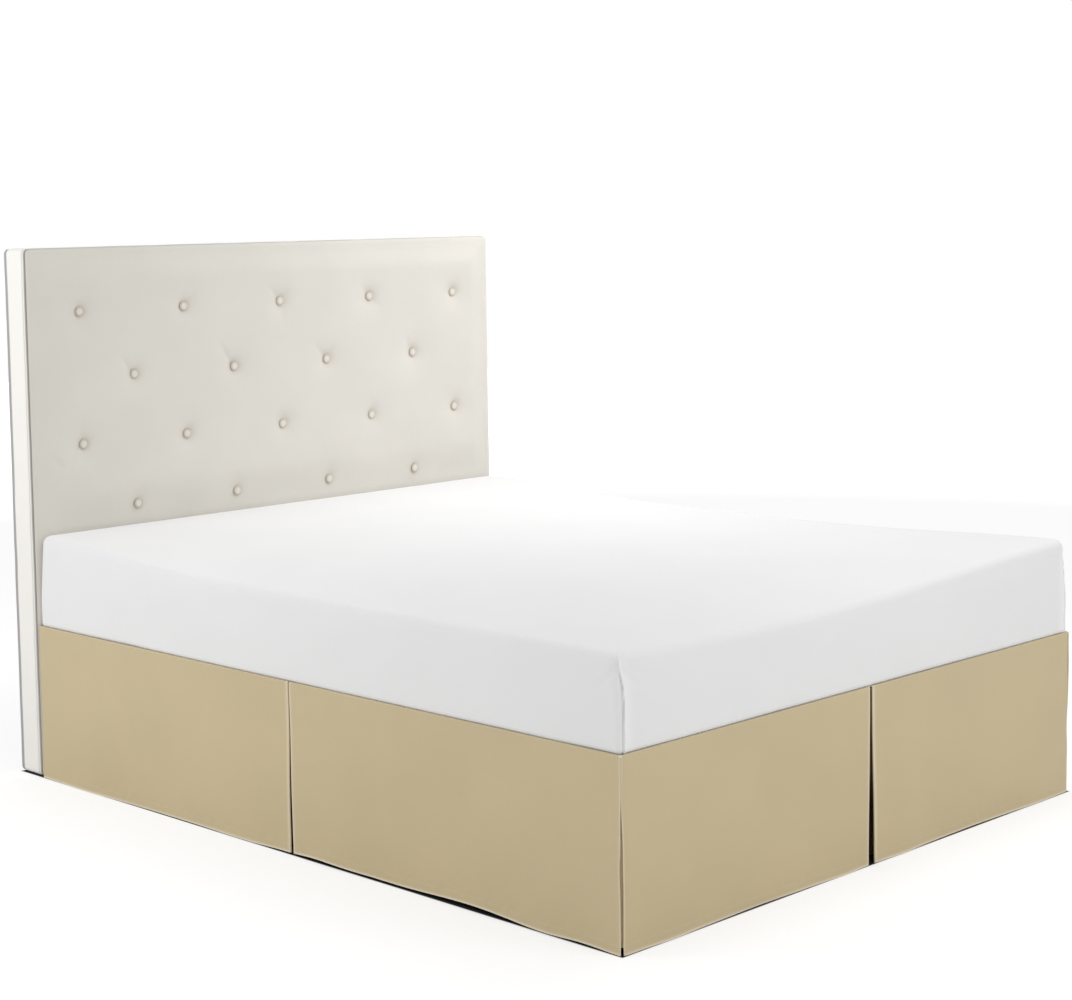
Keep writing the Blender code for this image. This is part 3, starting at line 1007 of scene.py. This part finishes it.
def hang_inset(name, sizes, side, nodes, material):
    """The cloth behind one split corner."""
    body = np.linspace(0.0, INSET_HEM_FROM, INSET_BODY_STEPS, endpoint=False)
    down = np.concatenate([body, np.linspace(INSET_HEM_FROM, 1.0, INSET_HEM_POINTS)])
    line = inset_line(sizes, down)
    from_side = np.array([point[0] + 0.0 * down for point in line])
    from_foot = np.array([point[1] + 0.0 * down for point in line])
    steps = np.hypot(np.diff(from_side[:, 0]), np.diff(from_foot[:, 0]))
    across = np.concatenate([[0.0], np.cumsum(steps)])[:, None]
    height = blend(DROP_TOP, sizes.inset_hem, down) + 0.0 * across
    above = height - sizes.inset_hem
    ripple = 0.0007 * soft_noise(31, across / 0.03, height / 0.12) * ease(down / 0.3)
    ripple -= sizes.groove * bell((above - INSET_STITCHES) / INSET_GROOVE)
    made, column, row = new_grid(name, len(line) - 1, len(down) - 1)
    pushed = ripple / math.sqrt(2.0)
    x = side * (HALF_WIDE - from_side + pushed)
    y = FOOT_Y + from_foot - pushed
    points = np.stack([x[column, row], y[column, row], height[column, row]], axis=1)
    move_points(made, points)
    lay_cloth_map(made, across[column, 0], above[column, row])
    mark_points(made, "tucked", np.zeros(len(column)))
    mark_points(made, "edge_highlight", np.zeros(len(column)))
    thicken(made, sizes.cloth)
    smooth_over(made, 50.0)
    dress(made, material, "skirt_cloth", *nodes)
    flat = (float(across[-1, 0]), float(DROP_TOP - sizes.inset_hem))


def crowded(part, power):
    """Places from -1 to 1 that stand closer together towards both ends."""
    return np.sign(part) * (1.0 - (1.0 - np.abs(part)) ** power)


def wrap_block(name, half, cells, profile, corner_round, power):
    """A square grid laid over a block's face, whose outer rings run down its four walls.

    The profile gives the inset, depth and tilt of each ring past the face. The answer holds
    each point's place on the face, depth, outward direction and ring, and its place round
    the nearest corner.
    """
    rings = len(profile) - 1
    reach = cells + rings
    made, column, row = new_grid(name, 2 * reach, 2 * reach)
    first = column - reach
    second = reach - row
    ring = np.maximum(np.abs(first), np.abs(second))
    span = np.maximum(ring, cells)
    part_u = crowded(first / span, power)
    part_v = crowded(second / span, power)
    past = np.maximum(ring - cells, 0)
    inset, depth, tilt = (np.array(values)[past] for values in zip(*profile))
    round_here = np.maximum(np.array(corner_round)[past] - inset, 1e-6)
    half_u = half[0] - inset
    half_v = half[1] - inset
    u = np.abs(part_u) * half_u
    v = np.abs(part_v) * half_v
    off_u = half_u - u
    off_v = half_v - v
    angle = math.pi / 4 * (1.0 - (off_v - off_u) / round_here)
    in_corner = (past > 0) & (np.maximum(off_u, off_v) < round_here)
    on_u = np.abs(first) >= np.abs(second)
    turned_u = np.where(in_corner, np.cos(angle), np.where(on_u, 1.0, 0.0))
    turned_v = np.where(in_corner, np.sin(angle), np.where(on_u, 0.0, 1.0))
    u = np.where(in_corner, half_u - round_here + round_here * turned_u, u)
    v = np.where(in_corner, half_v - round_here + round_here * turned_v, v)
    flat = past == 0
    facts = {
        "u": np.sign(first) * u,
        "v": np.sign(second) * v,
        "depth": depth,
        "tilt": np.where(flat, math.pi / 2, tilt),
        "out_u": np.sign(first) * turned_u,
        "out_v": np.sign(second) * turned_v,
        "past": past,
        "by_corner": np.where(on_u, -off_v, off_u),
        "on_u": on_u,
        "side_u": np.sign(first),
        "side_v": np.sign(second),
    }
    return made, facts


def unfold_map(piece, facts, lengths):
    """Cloth coordinates of a wrapped block, as if its walls were folded flat round its face."""
    run = np.array(lengths)[facts["past"]]
    corners = corner_points(piece)
    faces = len(piece.data.polygons)
    sides = facts["on_u"][corners].reshape(faces, 4).sum(axis=1) >= 3
    sides = np.repeat(sides, 4)
    u = facts["u"][corners] + np.where(sides, facts["side_u"][corners] * run[corners], 0.0)
    v = facts["v"][corners] + np.where(sides, 0.0, facts["side_v"][corners] * run[corners])
    layer = piece.data.uv_layers[0]
    layer.name = "cloth"
    layer.data.foreach_set("uv", np.stack([u, v], axis=1).ravel())


def close_back(piece):
    """Fills the open back of a wrapped block and turns its faces outwards."""
    make_active(piece)
    bpy.ops.object.mode_set(mode="EDIT")
    bpy.ops.mesh.select_all(action="DESELECT")
    bpy.ops.mesh.select_mode(type="EDGE")
    bpy.ops.mesh.select_non_manifold()
    bpy.ops.mesh.edge_face_add()
    bpy.ops.mesh.select_mode(type="FACE")
    bpy.ops.object.mode_set(mode="OBJECT")
    face_outwards(piece)


def rounded_wall(face_round, straight, base_round, steps):
    """Rings over a rounded edge, down a wall, round its lower edge and under it."""
    first = face_round * math.pi / 2
    last = base_round * math.pi / 2
    whole = first + straight + last + LAP_UNDER
    rings = []
    for step in range(steps + 1):
        run = whole * step / steps
        if run < first:
            turn = run / face_round
            inset = face_round * (1.0 - math.sin(turn))
            depth = face_round * (1.0 - math.cos(turn))
            rings.append(Ring(inset, depth, math.pi / 2 - turn))
        elif run < first + straight:
            rings.append(Ring(0.0, face_round + run - first, 0.0))
        elif run < first + straight + last:
            turn = (run - first - straight) / base_round
            depth = face_round + straight + base_round * math.sin(turn)
            rings.append(Ring(base_round * (1.0 - math.cos(turn)), depth, -turn))
        else:
            under = run - first - straight - last
            depth = face_round + straight + base_round
            rings.append(Ring(base_round + under, depth, -math.pi / 2))
    return rings


def run_of(profile):
    """The distance down a profile at each of its rings."""
    steps = [
        math.hypot(after.inset - ring.inset, after.depth - ring.depth)
        for ring, after in zip(profile, profile[1:])
    ]
    return np.concatenate([[0.0], np.cumsum(steps)])


class BEDDING_OT_stage(Operator):
    """Sets the camera, the soft light, the sky and the pale floor, with a painted shadow on the floor
    under the bed
    """

    bl_idname = "bedding.stage"
    bl_label = "Stage"

    def execute(self, context):
        scene = context.scene
        stage = scene.bedding_stage
        self.add_camera(scene, stage)
        self.add_sky(scene, stage)
        for lamp in LAMPS:
            self.add_lamp(scene, lamp)
        self.add_floor(stage, scene.bedding_colours)
        scene.view_settings.view_transform = "Standard"
        return {"FINISHED"}

    def add_camera(self, scene, stage):
        yaw, dip, roll = stage.camera_yaw, stage.camera_dip, stage.camera_roll
        ahead = Vector((math.sin(yaw) * math.cos(dip), math.cos(yaw) * math.cos(dip), -math.sin(dip)))
        level = Vector((math.cos(yaw), -math.sin(yaw), 0.0))
        upright = level.cross(ahead)
        right = math.cos(roll) * level + math.sin(roll) * upright
        up = -math.sin(roll) * level + math.cos(roll) * upright
        data = bpy.data.cameras.new("camera")
        data.lens = stage.camera_lens
        data.shift_y = stage.camera_shift
        camera = bpy.data.objects.new("camera", data)
        scene.collection.objects.link(camera)
        turned = Matrix((right, up, -ahead)).transposed().to_4x4()
        camera.matrix_world = Matrix.Translation(stage.camera_place) @ turned
        scene.camera = camera

    def add_sky(self, scene, stage):
        world = bpy.data.worlds.new("sky")
        world.use_nodes = True
        scene.world = world
        wire = Wire(world.node_tree)
        background = world.node_tree.nodes["Background"]
        seen = wire.node("ShaderNodeLightPath")
        strength = seen * (1.0 - stage.sky) + stage.sky
        background.inputs["Color"].default_value = (1.0, 1.0, 1.0, 1.0)
        world.node_tree.links.new(strength.socket, background.inputs["Strength"])

    def add_lamp(self, scene, lamp):
        data = bpy.data.lights.new(lamp.name, "AREA")
        data.shape = "SQUARE"
        data.size = 1.0
        data.spread = math.radians(lamp.spread)
        data.energy = lamp.power
        light = bpy.data.objects.new(lamp.name, data)
        scene.collection.objects.link(light)
        light.location = lamp.place
        ahead = Vector(lamp.aim) - Vector(lamp.place)
        light.rotation_euler = ahead.to_track_quat("-Z", "Y").to_euler()

    def add_floor(self, stage, colours):
        deselect_all()
        bpy.ops.mesh.primitive_circle_add(
            vertices=96, radius=stage.floor_reach, fill_type="NGON", location=(0.0, 0.0, -0.0005)
        )
        floor = bpy.context.active_object
        floor.name = "floor"
        wire, shader, made = new_material("pale_floor", specular=0.1)
        shader.inputs["Roughness"].default_value = 0.9
        x, y, _ = object_place(wire).parts()
        distance = x.math("SQRT", x * x + y * y)
        past_side = abs(x) - HALF_WIDE
        past_foot = abs(y) + FOOT_Y
        # Painted shadow: the floor is nearly black under the bed and for a few millimetres round it,
        # and shows none of its own light there.
        clear_of_painted_shadow = past_side.math("MAXIMUM", past_side, past_foot).ramp(-0.0025, 0.004)
        feed(shader, "Base Color", clear_of_painted_shadow.tinted(darker(colours.floor, 0.04), full(colours.floor)))
        glow = wire.node("ShaderNodeEmission", None, {"Strength": stage.floor_glow})
        end = made.node_tree.nodes["Material Output"]
        base = Wire(made.node_tree, shader.outputs[0])
        seen = wire.node("ShaderNodeLightPath") * clear_of_painted_shadow * stage.floor_lift
        pale = seen.math("MAXIMUM", seen, distance.ramp(stage.floor_near, stage.floor_far))
        mixed = wire.node("ShaderNodeMixShader", None, {0: pale, 1: base, 2: glow})
        made.node_tree.links.new(mixed.socket, end.inputs["Surface"])
        floor.data.materials.append(made)


class BEDDING_OT_drops(Operator):
    """Hangs the two side drops and the foot drop, with their pleats and hems"""

    bl_idname = "bedding.drops"
    bl_label = "Drops"

    def execute(self, context):
        sizes = context.scene.bedding_skirt
        colours = context.scene.bedding_colours
        cloth = skirt_cloth("skirt_cloth", colours.skirt, sizes, colours)
        # The insets take a lightened copy of the skirt cloth, painted light against the shade behind
        # the split corners.
        behind = skirt_cloth("lightened_inset_cloth", colours.inset, sizes, colours)
        for name, side in SIDES:

            def beside(along, inwards, height, side=side):
                return side * (HALF_WIDE - inwards), FOOT_Y + along, height

            node = f"drop_{name}"
            hang_drop(f"side_drop_{name}", sizes, SIDE_DROP, beside, [node], cloth)

        def at_foot(along, inwards, height):
            return along - HALF_WIDE, FOOT_Y + inwards, height

        hang_drop("foot_drop", sizes, FOOT_DROP, at_foot, ["drop_foot"], cloth)
        for name, side in SIDES:
            node = f"inset_{name}"
            hang_inset(f"corner_inset_{name}", sizes, side, [node], behind)
        return {"FINISHED"}


class BEDDING_OT_platform(Operator):
    """Lays the flat sheet between the mattress and the foundation"""

    bl_idname = "bedding.platform"
    bl_label = "Platform"

    def execute(self, context):
        sizes = context.scene.bedding_skirt
        colours = context.scene.bedding_colours
        made, column, row = new_grid("platform_sheet", PLATFORM_COLUMNS, PLATFORM_ROWS)
        across = crowded(2 * column / PLATFORM_COLUMNS - 1.0, PLATFORM_CROWD)
        along = crowded(1.0 - 2 * row / PLATFORM_ROWS, PLATFORM_CROWD)
        wide = PLATFORM_HIGH.x - PLATFORM_LOW.x
        long = PLATFORM_HIGH.y - PLATFORM_LOW.y
        x = across * wide / 2
        y = along * long / 2
        to_side = wide / 2 - np.abs(x)
        to_foot = long / 2 + y
        at_side = bell(to_side / EDGE_REACH)
        at_foot = bell(to_foot / EDGE_REACH)
        drawn = EDGE_DRAW * (1.0 - bell(np.hypot(to_side, to_foot) / CORNER_REACH))
        x = x * (1.0 - drawn * at_side / (wide / 2))
        y = y + drawn * at_foot
        middle = SIDE_DROP.length / 2 - long / 2
        x = x * (1.0 - PLEAT_DENT * bell((y - middle) / DENT_WIDE) * at_side / (wide / 2))
        y = y + PLEAT_DENT * bell(x / DENT_WIDE) * at_foot
        z = np.full(len(x), (PLATFORM_LOW.z + PLATFORM_HIGH.z) / 2)
        move_points(made, np.stack([x, y + (PLATFORM_LOW.y + PLATFORM_HIGH.y) / 2, z], axis=1))
        lay_cloth_map(made, x, y)
        thicken(made, sizes.platform_cloth)
        smooth_over(made, 50.0)
        cloth = plain_cloth("platform_cloth", colours.platform, pitch=0.0007, relief=0.0002)
        dress(made, cloth, "platform_cloth", "platform")
        return {"FINISHED"}


class BEDDING_OT_mattress(Operator):
    """Makes the mattress in its fitted sheet, with the sheet's corner seams"""

    bl_idname = "bedding.mattress"
    bl_label = "Mattress"

    def execute(self, context):
        sizes = context.scene.bedding_bed
        colours = context.scene.bedding_colours
        low, high = MATTRESS_LOW, MATTRESS_HIGH
        half = ((high.x - low.x) / 2, (high.y - low.y) / 2)
        straight = high.z - low.z - sizes.top_round - sizes.base_round
        profile = rounded_wall(sizes.top_round, straight, sizes.base_round, MATTRESS_RINGS)
        depths = np.array([ring.depth for ring in profile]) / (high.z - low.z)
        corners = blend(sizes.corner_top, sizes.corner_base, ease(depths * 1.25))
        made, facts = wrap_block(
            "sheeted_mattress", half, MATTRESS_CELLS, profile, corners, MATTRESS_CROWD
        )
        unfold_map(made, facts, run_of(profile))
        push, seam, down = self.creases(sizes, facts, half, np.array(run_of(profile)))
        flat_out = np.cos(facts["tilt"])
        x = facts["u"] + facts["out_u"] * flat_out * push
        y = facts["v"] + facts["out_v"] * flat_out * push
        z = high.z - facts["depth"] + np.sin(facts["tilt"]) * push
        z -= self.shoulder(sizes, facts, half, high.z - low.z)
        under = facts["tilt"] < -1.5
        z = np.where(under, low.z, z)
        move_points(made, np.stack([x, y + (low.y + high.y) / 2, z], axis=1))
        close_back(made)
        smooth_over(made, 60.0)
        shown = ease((down - 0.012) / 0.03)
        under_seam = ease((seam + 0.001) / 0.002) * ease((0.034 - seam) / 0.030)
        # Paler band beside each corner seam: partly the doubled cloth, partly a painted highlight.
        mark_points(made, "highlight_and_doubled", 0.6 * under_seam * shown)
        line = bell((seam + 1.6 * sizes.seam_wide) / (0.6 * sizes.seam_wide))
        mark_points(made, "shaded", 0.45 * line * ease((down - 0.045) / 0.03))
        cloth = plain_cloth(
            "fitted_sheet",
            colours.sheet,
            pitch=0.0005,
            relief=0.00012,
            mottle=0.015,
            shaded=colours.sheet_seam,
            highlight_and_doubled=colours.sheet_highlight_and_doubled,
        )
        dress(made, cloth, "sheet_cloth", "mattress")
        return {"FINISHED"}

    def shoulder(self, sizes, facts, half, high):
        """How far the tight sheet draws the upper edge down, most by the middle of the foot."""
        u, v = facts["u"], facts["v"]
        by_side = bell((half[0] - np.abs(u)) / sizes.shoulder_wide)
        by_foot = bell((half[1] + v) / sizes.shoulder_wide)
        pull = EDGE_PULL
        uneven = pull.least + pull.swell * bell((u - pull.at) / pull.spread)
        corner = np.hypot(u - half[0], v + half[1])
        kept = 1.0 - pull.corner * bell(corner / pull.corner_spread)
        kept *= ease((half[1] - v) / pull.head)
        down = 1.0 - ease((facts["depth"] - sizes.top_round) / (pull.wall * high))
        return sizes.shoulder * (by_side + by_foot - by_side * by_foot) * uneven * kept * down

    def creases(self, sizes, facts, half, run):
        """How far each point stands out for the crown, the seams and the drag lines."""
        u, v, past = facts["u"], facts["v"], facts["past"]
        down = run[past]
        crown = (1.0 - (u / half[0]) ** 2) * (1.0 - (v / half[1]) ** 2)
        push = sizes.crown * (crown - 1.0) * (past == 0)
        push -= sizes.crown * (past > 0) * bell(down / 0.05)
        push += 0.0009 * soft_noise(41, u / 0.22, v / 0.22) * (past == 0)
        around = np.where(facts["on_u"], v, u + 3.0)
        wall = ease(down / 0.07)
        push += 0.0010 * soft_noise(42, around / 0.16, down / 0.09) * wall
        by_foot = v < 0
        lean = sizes.seam_lean * bell((down - 0.02) / 0.05)
        seam = facts["by_corner"] + lean - sizes.seam_aside
        fades = ease((down - 0.012) / 0.03) * by_foot
        push += sizes.seam_high * bell(seam / sizes.seam_wide) * fades
        push -= 0.0016 * bell((seam + 2.2 * sizes.seam_wide) / sizes.seam_wide) * fades
        off = np.abs(facts["by_corner"])
        below = down - DRAG_FROM
        for drag in DRAG_LINES:
            across = off * math.cos(drag.turn) - below * math.sin(drag.turn)
            along = off * math.sin(drag.turn) + below * math.cos(drag.turn)
            mask = ease(along / 0.02) * ease((drag.long - along) / 0.07) * (past > 0) * by_foot
            push -= drag.deep * bell(across / drag.wide) * mask
        return push, seam, down * by_foot


def tuft_swell(sizes, x, z, buttons):
    """How far the headboard's padding stands out: full between the buttons, none at them."""
    swell = np.ones_like(x)
    for button_x, button_z in buttons:
        away = np.hypot(x - button_x, z - button_z) - 0.8 * sizes.button
        swell *= 1.0 - np.exp(-np.maximum(away, 0.0) / sizes.dimple)
    return sizes.padding * swell


def crease_depth(x, z):
    """Depth of the pulls in the headboard's cover."""
    depth = np.zeros_like(x)
    for crease in BOARD_CREASES:
        up = np.array([-math.sin(crease.turn), math.cos(crease.turn)])
        off_x, off_z = x - crease.x, z - crease.z
        along = off_x * up[0] + off_z * up[1]
        across = off_x * up[1] - off_z * up[0] + 0.06 * along
        wide = 0.0045 + 0.05 * np.maximum(along, 0.0)
        ends = ease((along - 0.006) / 0.012) * ease((crease.long - along) / (0.6 * crease.long))
        depth += crease.deep * bell(across / wide) * ends
    return depth


def button_places():
    """The middle of each covered button, from its node, as (name, x, z)."""
    found = []
    for name in sorted(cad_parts):
        if name.startswith("button_"):
            low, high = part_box(name)
            found.append((name, (low.x + high.x) / 2, (low.z + high.z) / 2))
    return found


class BEDDING_OT_headboard(Operator):
    """Makes the tufted headboard, with its seam, side panels and bare back strip"""

    bl_idname = "bedding.headboard"
    bl_label = "Headboard"

    def execute(self, context):
        sizes = context.scene.bedding_bed
        colours = context.scene.bedding_colours
        low, high = BOARD_LOW, BOARD_HIGH
        thick = high.y - low.y
        half = ((high.x - low.x) / 2, (high.z - low.z) / 2)
        profile = self.profile(sizes, thick)
        corners = [sizes.board_corner] * len(profile)
        made, facts = wrap_block("tufted_headboard", half, BOARD_CELLS, profile, corners, BOARD_CROWD)
        unfold_map(made, facts, run_of(profile))
        x = facts["u"]
        z = facts["v"] + (low.z + high.z) / 2
        places = [(x, z) for _, x, z in button_places()]
        swell = tuft_swell(sizes, x, z, places) - crease_depth(x, z)
        swell += 0.0009 * soft_noise(51, x / 0.12, z / 0.12)
        edge = np.minimum(half[0] - np.abs(facts["u"]), half[1] - np.abs(facts["v"]))
        held = ease((edge - 0.012) / 0.075) * ease((z - MATTRESS_HIGH.z - 0.01) / 0.10)
        front = facts["past"] == 0
        y = low.y + facts["depth"] - np.where(front, swell * held, 0.0)
        wobble = 0.0007 * soft_noise(52, (x + z) / 0.05, facts["depth"] / 0.03)
        wall = np.cos(facts["tilt"]) * ease(facts["depth"] / 0.012) * (facts["tilt"] > -1.5)
        x = x + facts["out_u"] * wall * wobble
        z = np.maximum(z + facts["out_v"] * wall * wobble, 0.0)
        move_points(made, np.stack([x, y, z], axis=1))
        depth = facts["depth"]
        # Painted shade along the seam groove behind the border and the fold beside the strip.
        seam = bell((depth - sizes.board_seam) / 0.0038)
        seam += 0.5 * bell((depth - sizes.board_fold) / 0.0012)
        mark_points(made, "seam", np.clip(seam, 0.0, 1.0) * (facts["past"] > 0))
        # Where the cover turns back onto the side: painted light, a paler copy of its cream.
        mark_points(made, "side", ease((depth - 0.013) / 0.002))
        # Painted shade deep in the dimples round the buttons.
        shaded = 0.55 * (1.0 - tuft_swell(sizes, facts["u"], z, places) / sizes.padding) ** 3
        mark_points(made, "shaded", shaded * front)
        mark_points(made, "bare", ease((depth - (thick - sizes.back_strip)) / 0.0012))
        close_back(made)
        smooth_over(made, 60.0)
        dress(made, board_cover(sizes, colours), "board_cloth", "headboard")
        return {"FINISHED"}

    def profile(self, sizes, thick):
        """Rings from the padded front over its border, into the seam and along the side."""
        rings = []
        for step in range(ROUND_STEPS + 1):
            turn = math.pi / 2 * step / ROUND_STEPS
            inset = blend(sizes.board_edge, BORDER_IN, math.sin(turn))
            depth = sizes.board_round * (1.0 - math.cos(turn))
            rings.append(Ring(inset, depth, math.pi / 2 - turn))
        groove = ((0.0036, 0.0074), (0.0056, 0.0090), (0.0056, 0.0112), (0.0030, 0.0126))
        strip = ((0.0006, 0.0138), (0.0, 0.0160), (0.0002, 0.0184), (0.0010, 0.0202))
        seam = ((0.0017, 0.0213), (0.0010, 0.0224))
        side = tuple((0.0003, depth) for depth in (0.026, 0.036, 0.050, 0.064, 0.078))
        back = thick - sizes.back_strip
        lip = ((0.0003, back - 0.003), (0.0008, back - 0.0006), (0.0016, back + 0.0006))
        bare = ((0.0016, back + 0.004), (0.0016, thick - 0.003), (0.0026, thick - 0.0008))
        for inset, depth in groove + strip + seam + side + lip + bare:
            rings.append(Ring(inset, depth, 0.0))
        rings.append(Ring(0.0045, thick, -math.pi / 2))
        rings.append(Ring(LAP_UNDER, thick, -math.pi / 2))
        return rings


class BEDDING_OT_buttons(Operator):
    """Makes the covered buttons, domed and gathered at their rims"""

    bl_idname = "bedding.buttons"
    bl_label = "Buttons"

    def execute(self, context):
        sizes = context.scene.bedding_bed
        colours = context.scene.bedding_colours
        cover = plain_cloth(
            "button_cover", colours.board, pitch=0.0007, relief=0.0002, shaded=colours.board_dimple_shade
        )
        for name, x, z in button_places():
            self.add_button(name, x, z, sizes, cover)
        return {"FINISHED"}

    def add_button(self, node, x, z, sizes, cover):
        deselect_all()
        bpy.ops.mesh.primitive_uv_sphere_add(segments=40, ring_count=24, radius=1.0)
        made = bpy.context.active_object
        made.name = node.replace("button", "covered_button")
        made.data.name = made.name
        points = points_of(made)
        around = np.arctan2(points[:, 1], points[:, 0])
        rim = np.hypot(points[:, 0], points[:, 1])
        up = points[:, 2]
        gather = 1.0 + RIM_GATHER_HIGH * np.cos(RIM_GATHERS * around) * ease((rim - 0.6) / 0.4)
        high = np.sign(up) * np.abs(up) ** 0.8 * sizes.button_high / 2
        base = BOARD_Y - 0.0003 - sizes.button_high / 2
        wide = sizes.button * gather
        placed = [x + points[:, 0] * wide, base - high, z + points[:, 1] * wide]
        move_points(made, np.stack(placed, axis=1))
        lay_cloth_map(made, points[:, 0] * sizes.button, points[:, 1] * sizes.button)
        # Painted shade at the button's rim, where it sinks into its dimple.
        mark_points(made, "shaded", 0.8 * ease((rim - 0.50) / 0.28))
        face_outwards(made)
        smooth_over(made, 80.0)
        dress(made, cover, "board_cloth", node)


class BEDDING_OT_foundation(Operator):
    """Makes the cloth-covered foundation under the mattress"""

    bl_idname = "bedding.foundation"
    bl_label = "Foundation"

    def execute(self, context):
        colours = context.scene.bedding_colours
        low, high = BASE_LOW, BASE_HIGH
        half = ((high.x - low.x) / 2, (high.y - low.y) / 2)
        high_deep = high.z - low.z
        profile = rounded_wall(BASE_EDGE, high_deep - 2 * BASE_EDGE, BASE_EDGE, BASE_RINGS)
        corners = [BASE_CORNER] * len(profile)
        made, facts = wrap_block("covered_foundation", half, BASE_CELLS, profile, corners, BASE_CROWD)
        unfold_map(made, facts, run_of(profile))
        depth = facts["depth"]
        bead = bell((depth - CORD_AT) / CORD_WIDE) + bell((depth - high_deep + CORD_AT) / CORD_WIDE)
        wall = np.cos(facts["tilt"])
        push = (CORD_HIGH * bead - COVER_IN) * wall * (facts["past"] > 0)
        push += 0.0010 * soft_noise(61, (facts["u"] + facts["v"]) / 0.2, depth / 0.08) * wall * 0.4
        x = facts["u"] + facts["out_u"] * push
        y = facts["v"] + facts["out_v"] * push + (low.y + high.y) / 2
        move_points(made, np.stack([x, y, high.z - depth], axis=1))
        close_back(made)
        smooth_over(made, 60.0)
        cloth = plain_cloth("ticking_cloth", colours.ticking, pitch=0.0009, relief=0.0002, mottle=0.05)
        dress(made, cloth, "ticking", "foundation")
        return {"FINISHED"}


class BEDDING_OT_legs(Operator):
    """Turns the six wooden legs, each with a collar and a glide"""

    bl_idname = "bedding.legs"
    bl_label = "Legs"

    def execute(self, context):
        wood = stained_wood(context.scene.bedding_colours)
        sizes = context.scene.bedding_bed
        names = [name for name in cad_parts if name.startswith("leg_")]
        for name in sorted(names):
            self.add_leg(name, sizes, wood)
        return {"FINISHED"}

    def add_leg(self, node, sizes, wood):
        low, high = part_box(node)
        middle = (low + high) / 2
        deselect_all()
        bpy.ops.mesh.primitive_cylinder_add(
            vertices=48, radius=sizes.leg, depth=high.z - low.z, location=middle
        )
        made = bpy.context.active_object
        made.name = f"turned_{node}"
        made.data.name = made.name
        make_active(made)
        bpy.ops.object.transform_apply(location=True, rotation=True, scale=True)
        bpy.ops.object.mode_set(mode="EDIT")
        for height in (high.z - LEG_COLLAR, high.z - LEG_NECK, low.z + LEG_GLIDE):
            bpy.ops.mesh.select_all(action="SELECT")
            bpy.ops.mesh.bisect(plane_co=(0.0, 0.0, height), plane_no=(0.0, 0.0, 1.0))
        bpy.ops.object.mode_set(mode="OBJECT")
        points = points_of(made)
        up = (points[:, 2] - low.z) / (high.z - low.z)
        below_collar = points[:, 2] < high.z - (LEG_COLLAR + LEG_NECK) / 2
        narrow = np.where(below_collar, blend(0.80, 0.97, up), 1.0)
        narrow = np.where(points[:, 2] < low.z + 0.001, 0.72, narrow)
        points[:, 0] = middle.x + (points[:, 0] - middle.x) * narrow
        points[:, 1] = middle.y + (points[:, 1] - middle.y) * narrow
        move_points(made, points)
        apply_modifier(
            made, "soft edges", "BEVEL", width=0.0012, segments=2, limit_method="ANGLE"
        )
        smooth_over(made, 35.0)
        dress(made, wood, "leg_wood", node)


class BEDDING_PT_panel(Panel):
    """Lists the operators that make the bed skirt and its bed"""

    bl_idname = "BEDDING_PT_panel"
    bl_label = "Bed skirt"
    bl_space_type = "VIEW_3D"
    bl_region_type = "UI"
    bl_category = "Bedding"

    def draw(self, context):
        column = self.layout.column(align=True)
        for operator in OPERATORS:
            column.operator(operator.bl_idname)


GROUPS = {
    "bedding_skirt": SkirtSizes,
    "bedding_bed": BedSizes,
    "bedding_colours": Colours,
    "bedding_stage": StageSizes,
}
OPERATORS = (
    BEDDING_OT_stage,
    BEDDING_OT_drops,
    BEDDING_OT_platform,
    BEDDING_OT_mattress,
    BEDDING_OT_headboard,
    BEDDING_OT_buttons,
    BEDDING_OT_foundation,
    BEDDING_OT_legs,
)


def register():
    for name, group in GROUPS.items():
        bpy.utils.register_class(group)
        setattr(bpy.types.Scene, name, PointerProperty(type=group))
    for operator in OPERATORS:
        bpy.utils.register_class(operator)
    bpy.utils.register_class(BEDDING_PT_panel)


def unregister():
    bpy.utils.unregister_class(BEDDING_PT_panel)
    for operator in reversed(OPERATORS):
        bpy.utils.unregister_class(operator)
    for name, group in GROUPS.items():
        delattr(bpy.types.Scene, name)
        bpy.utils.unregister_class(group)


def main():
    register()
    bpy.ops.bedding.stage()
    bpy.ops.bedding.drops()
    bpy.ops.bedding.platform()
    bpy.ops.bedding.mattress()
    bpy.ops.bedding.headboard()
    bpy.ops.bedding.buttons()
    bpy.ops.bedding.foundation()
    bpy.ops.bedding.legs()


if __name__ == "__main__":
    main()
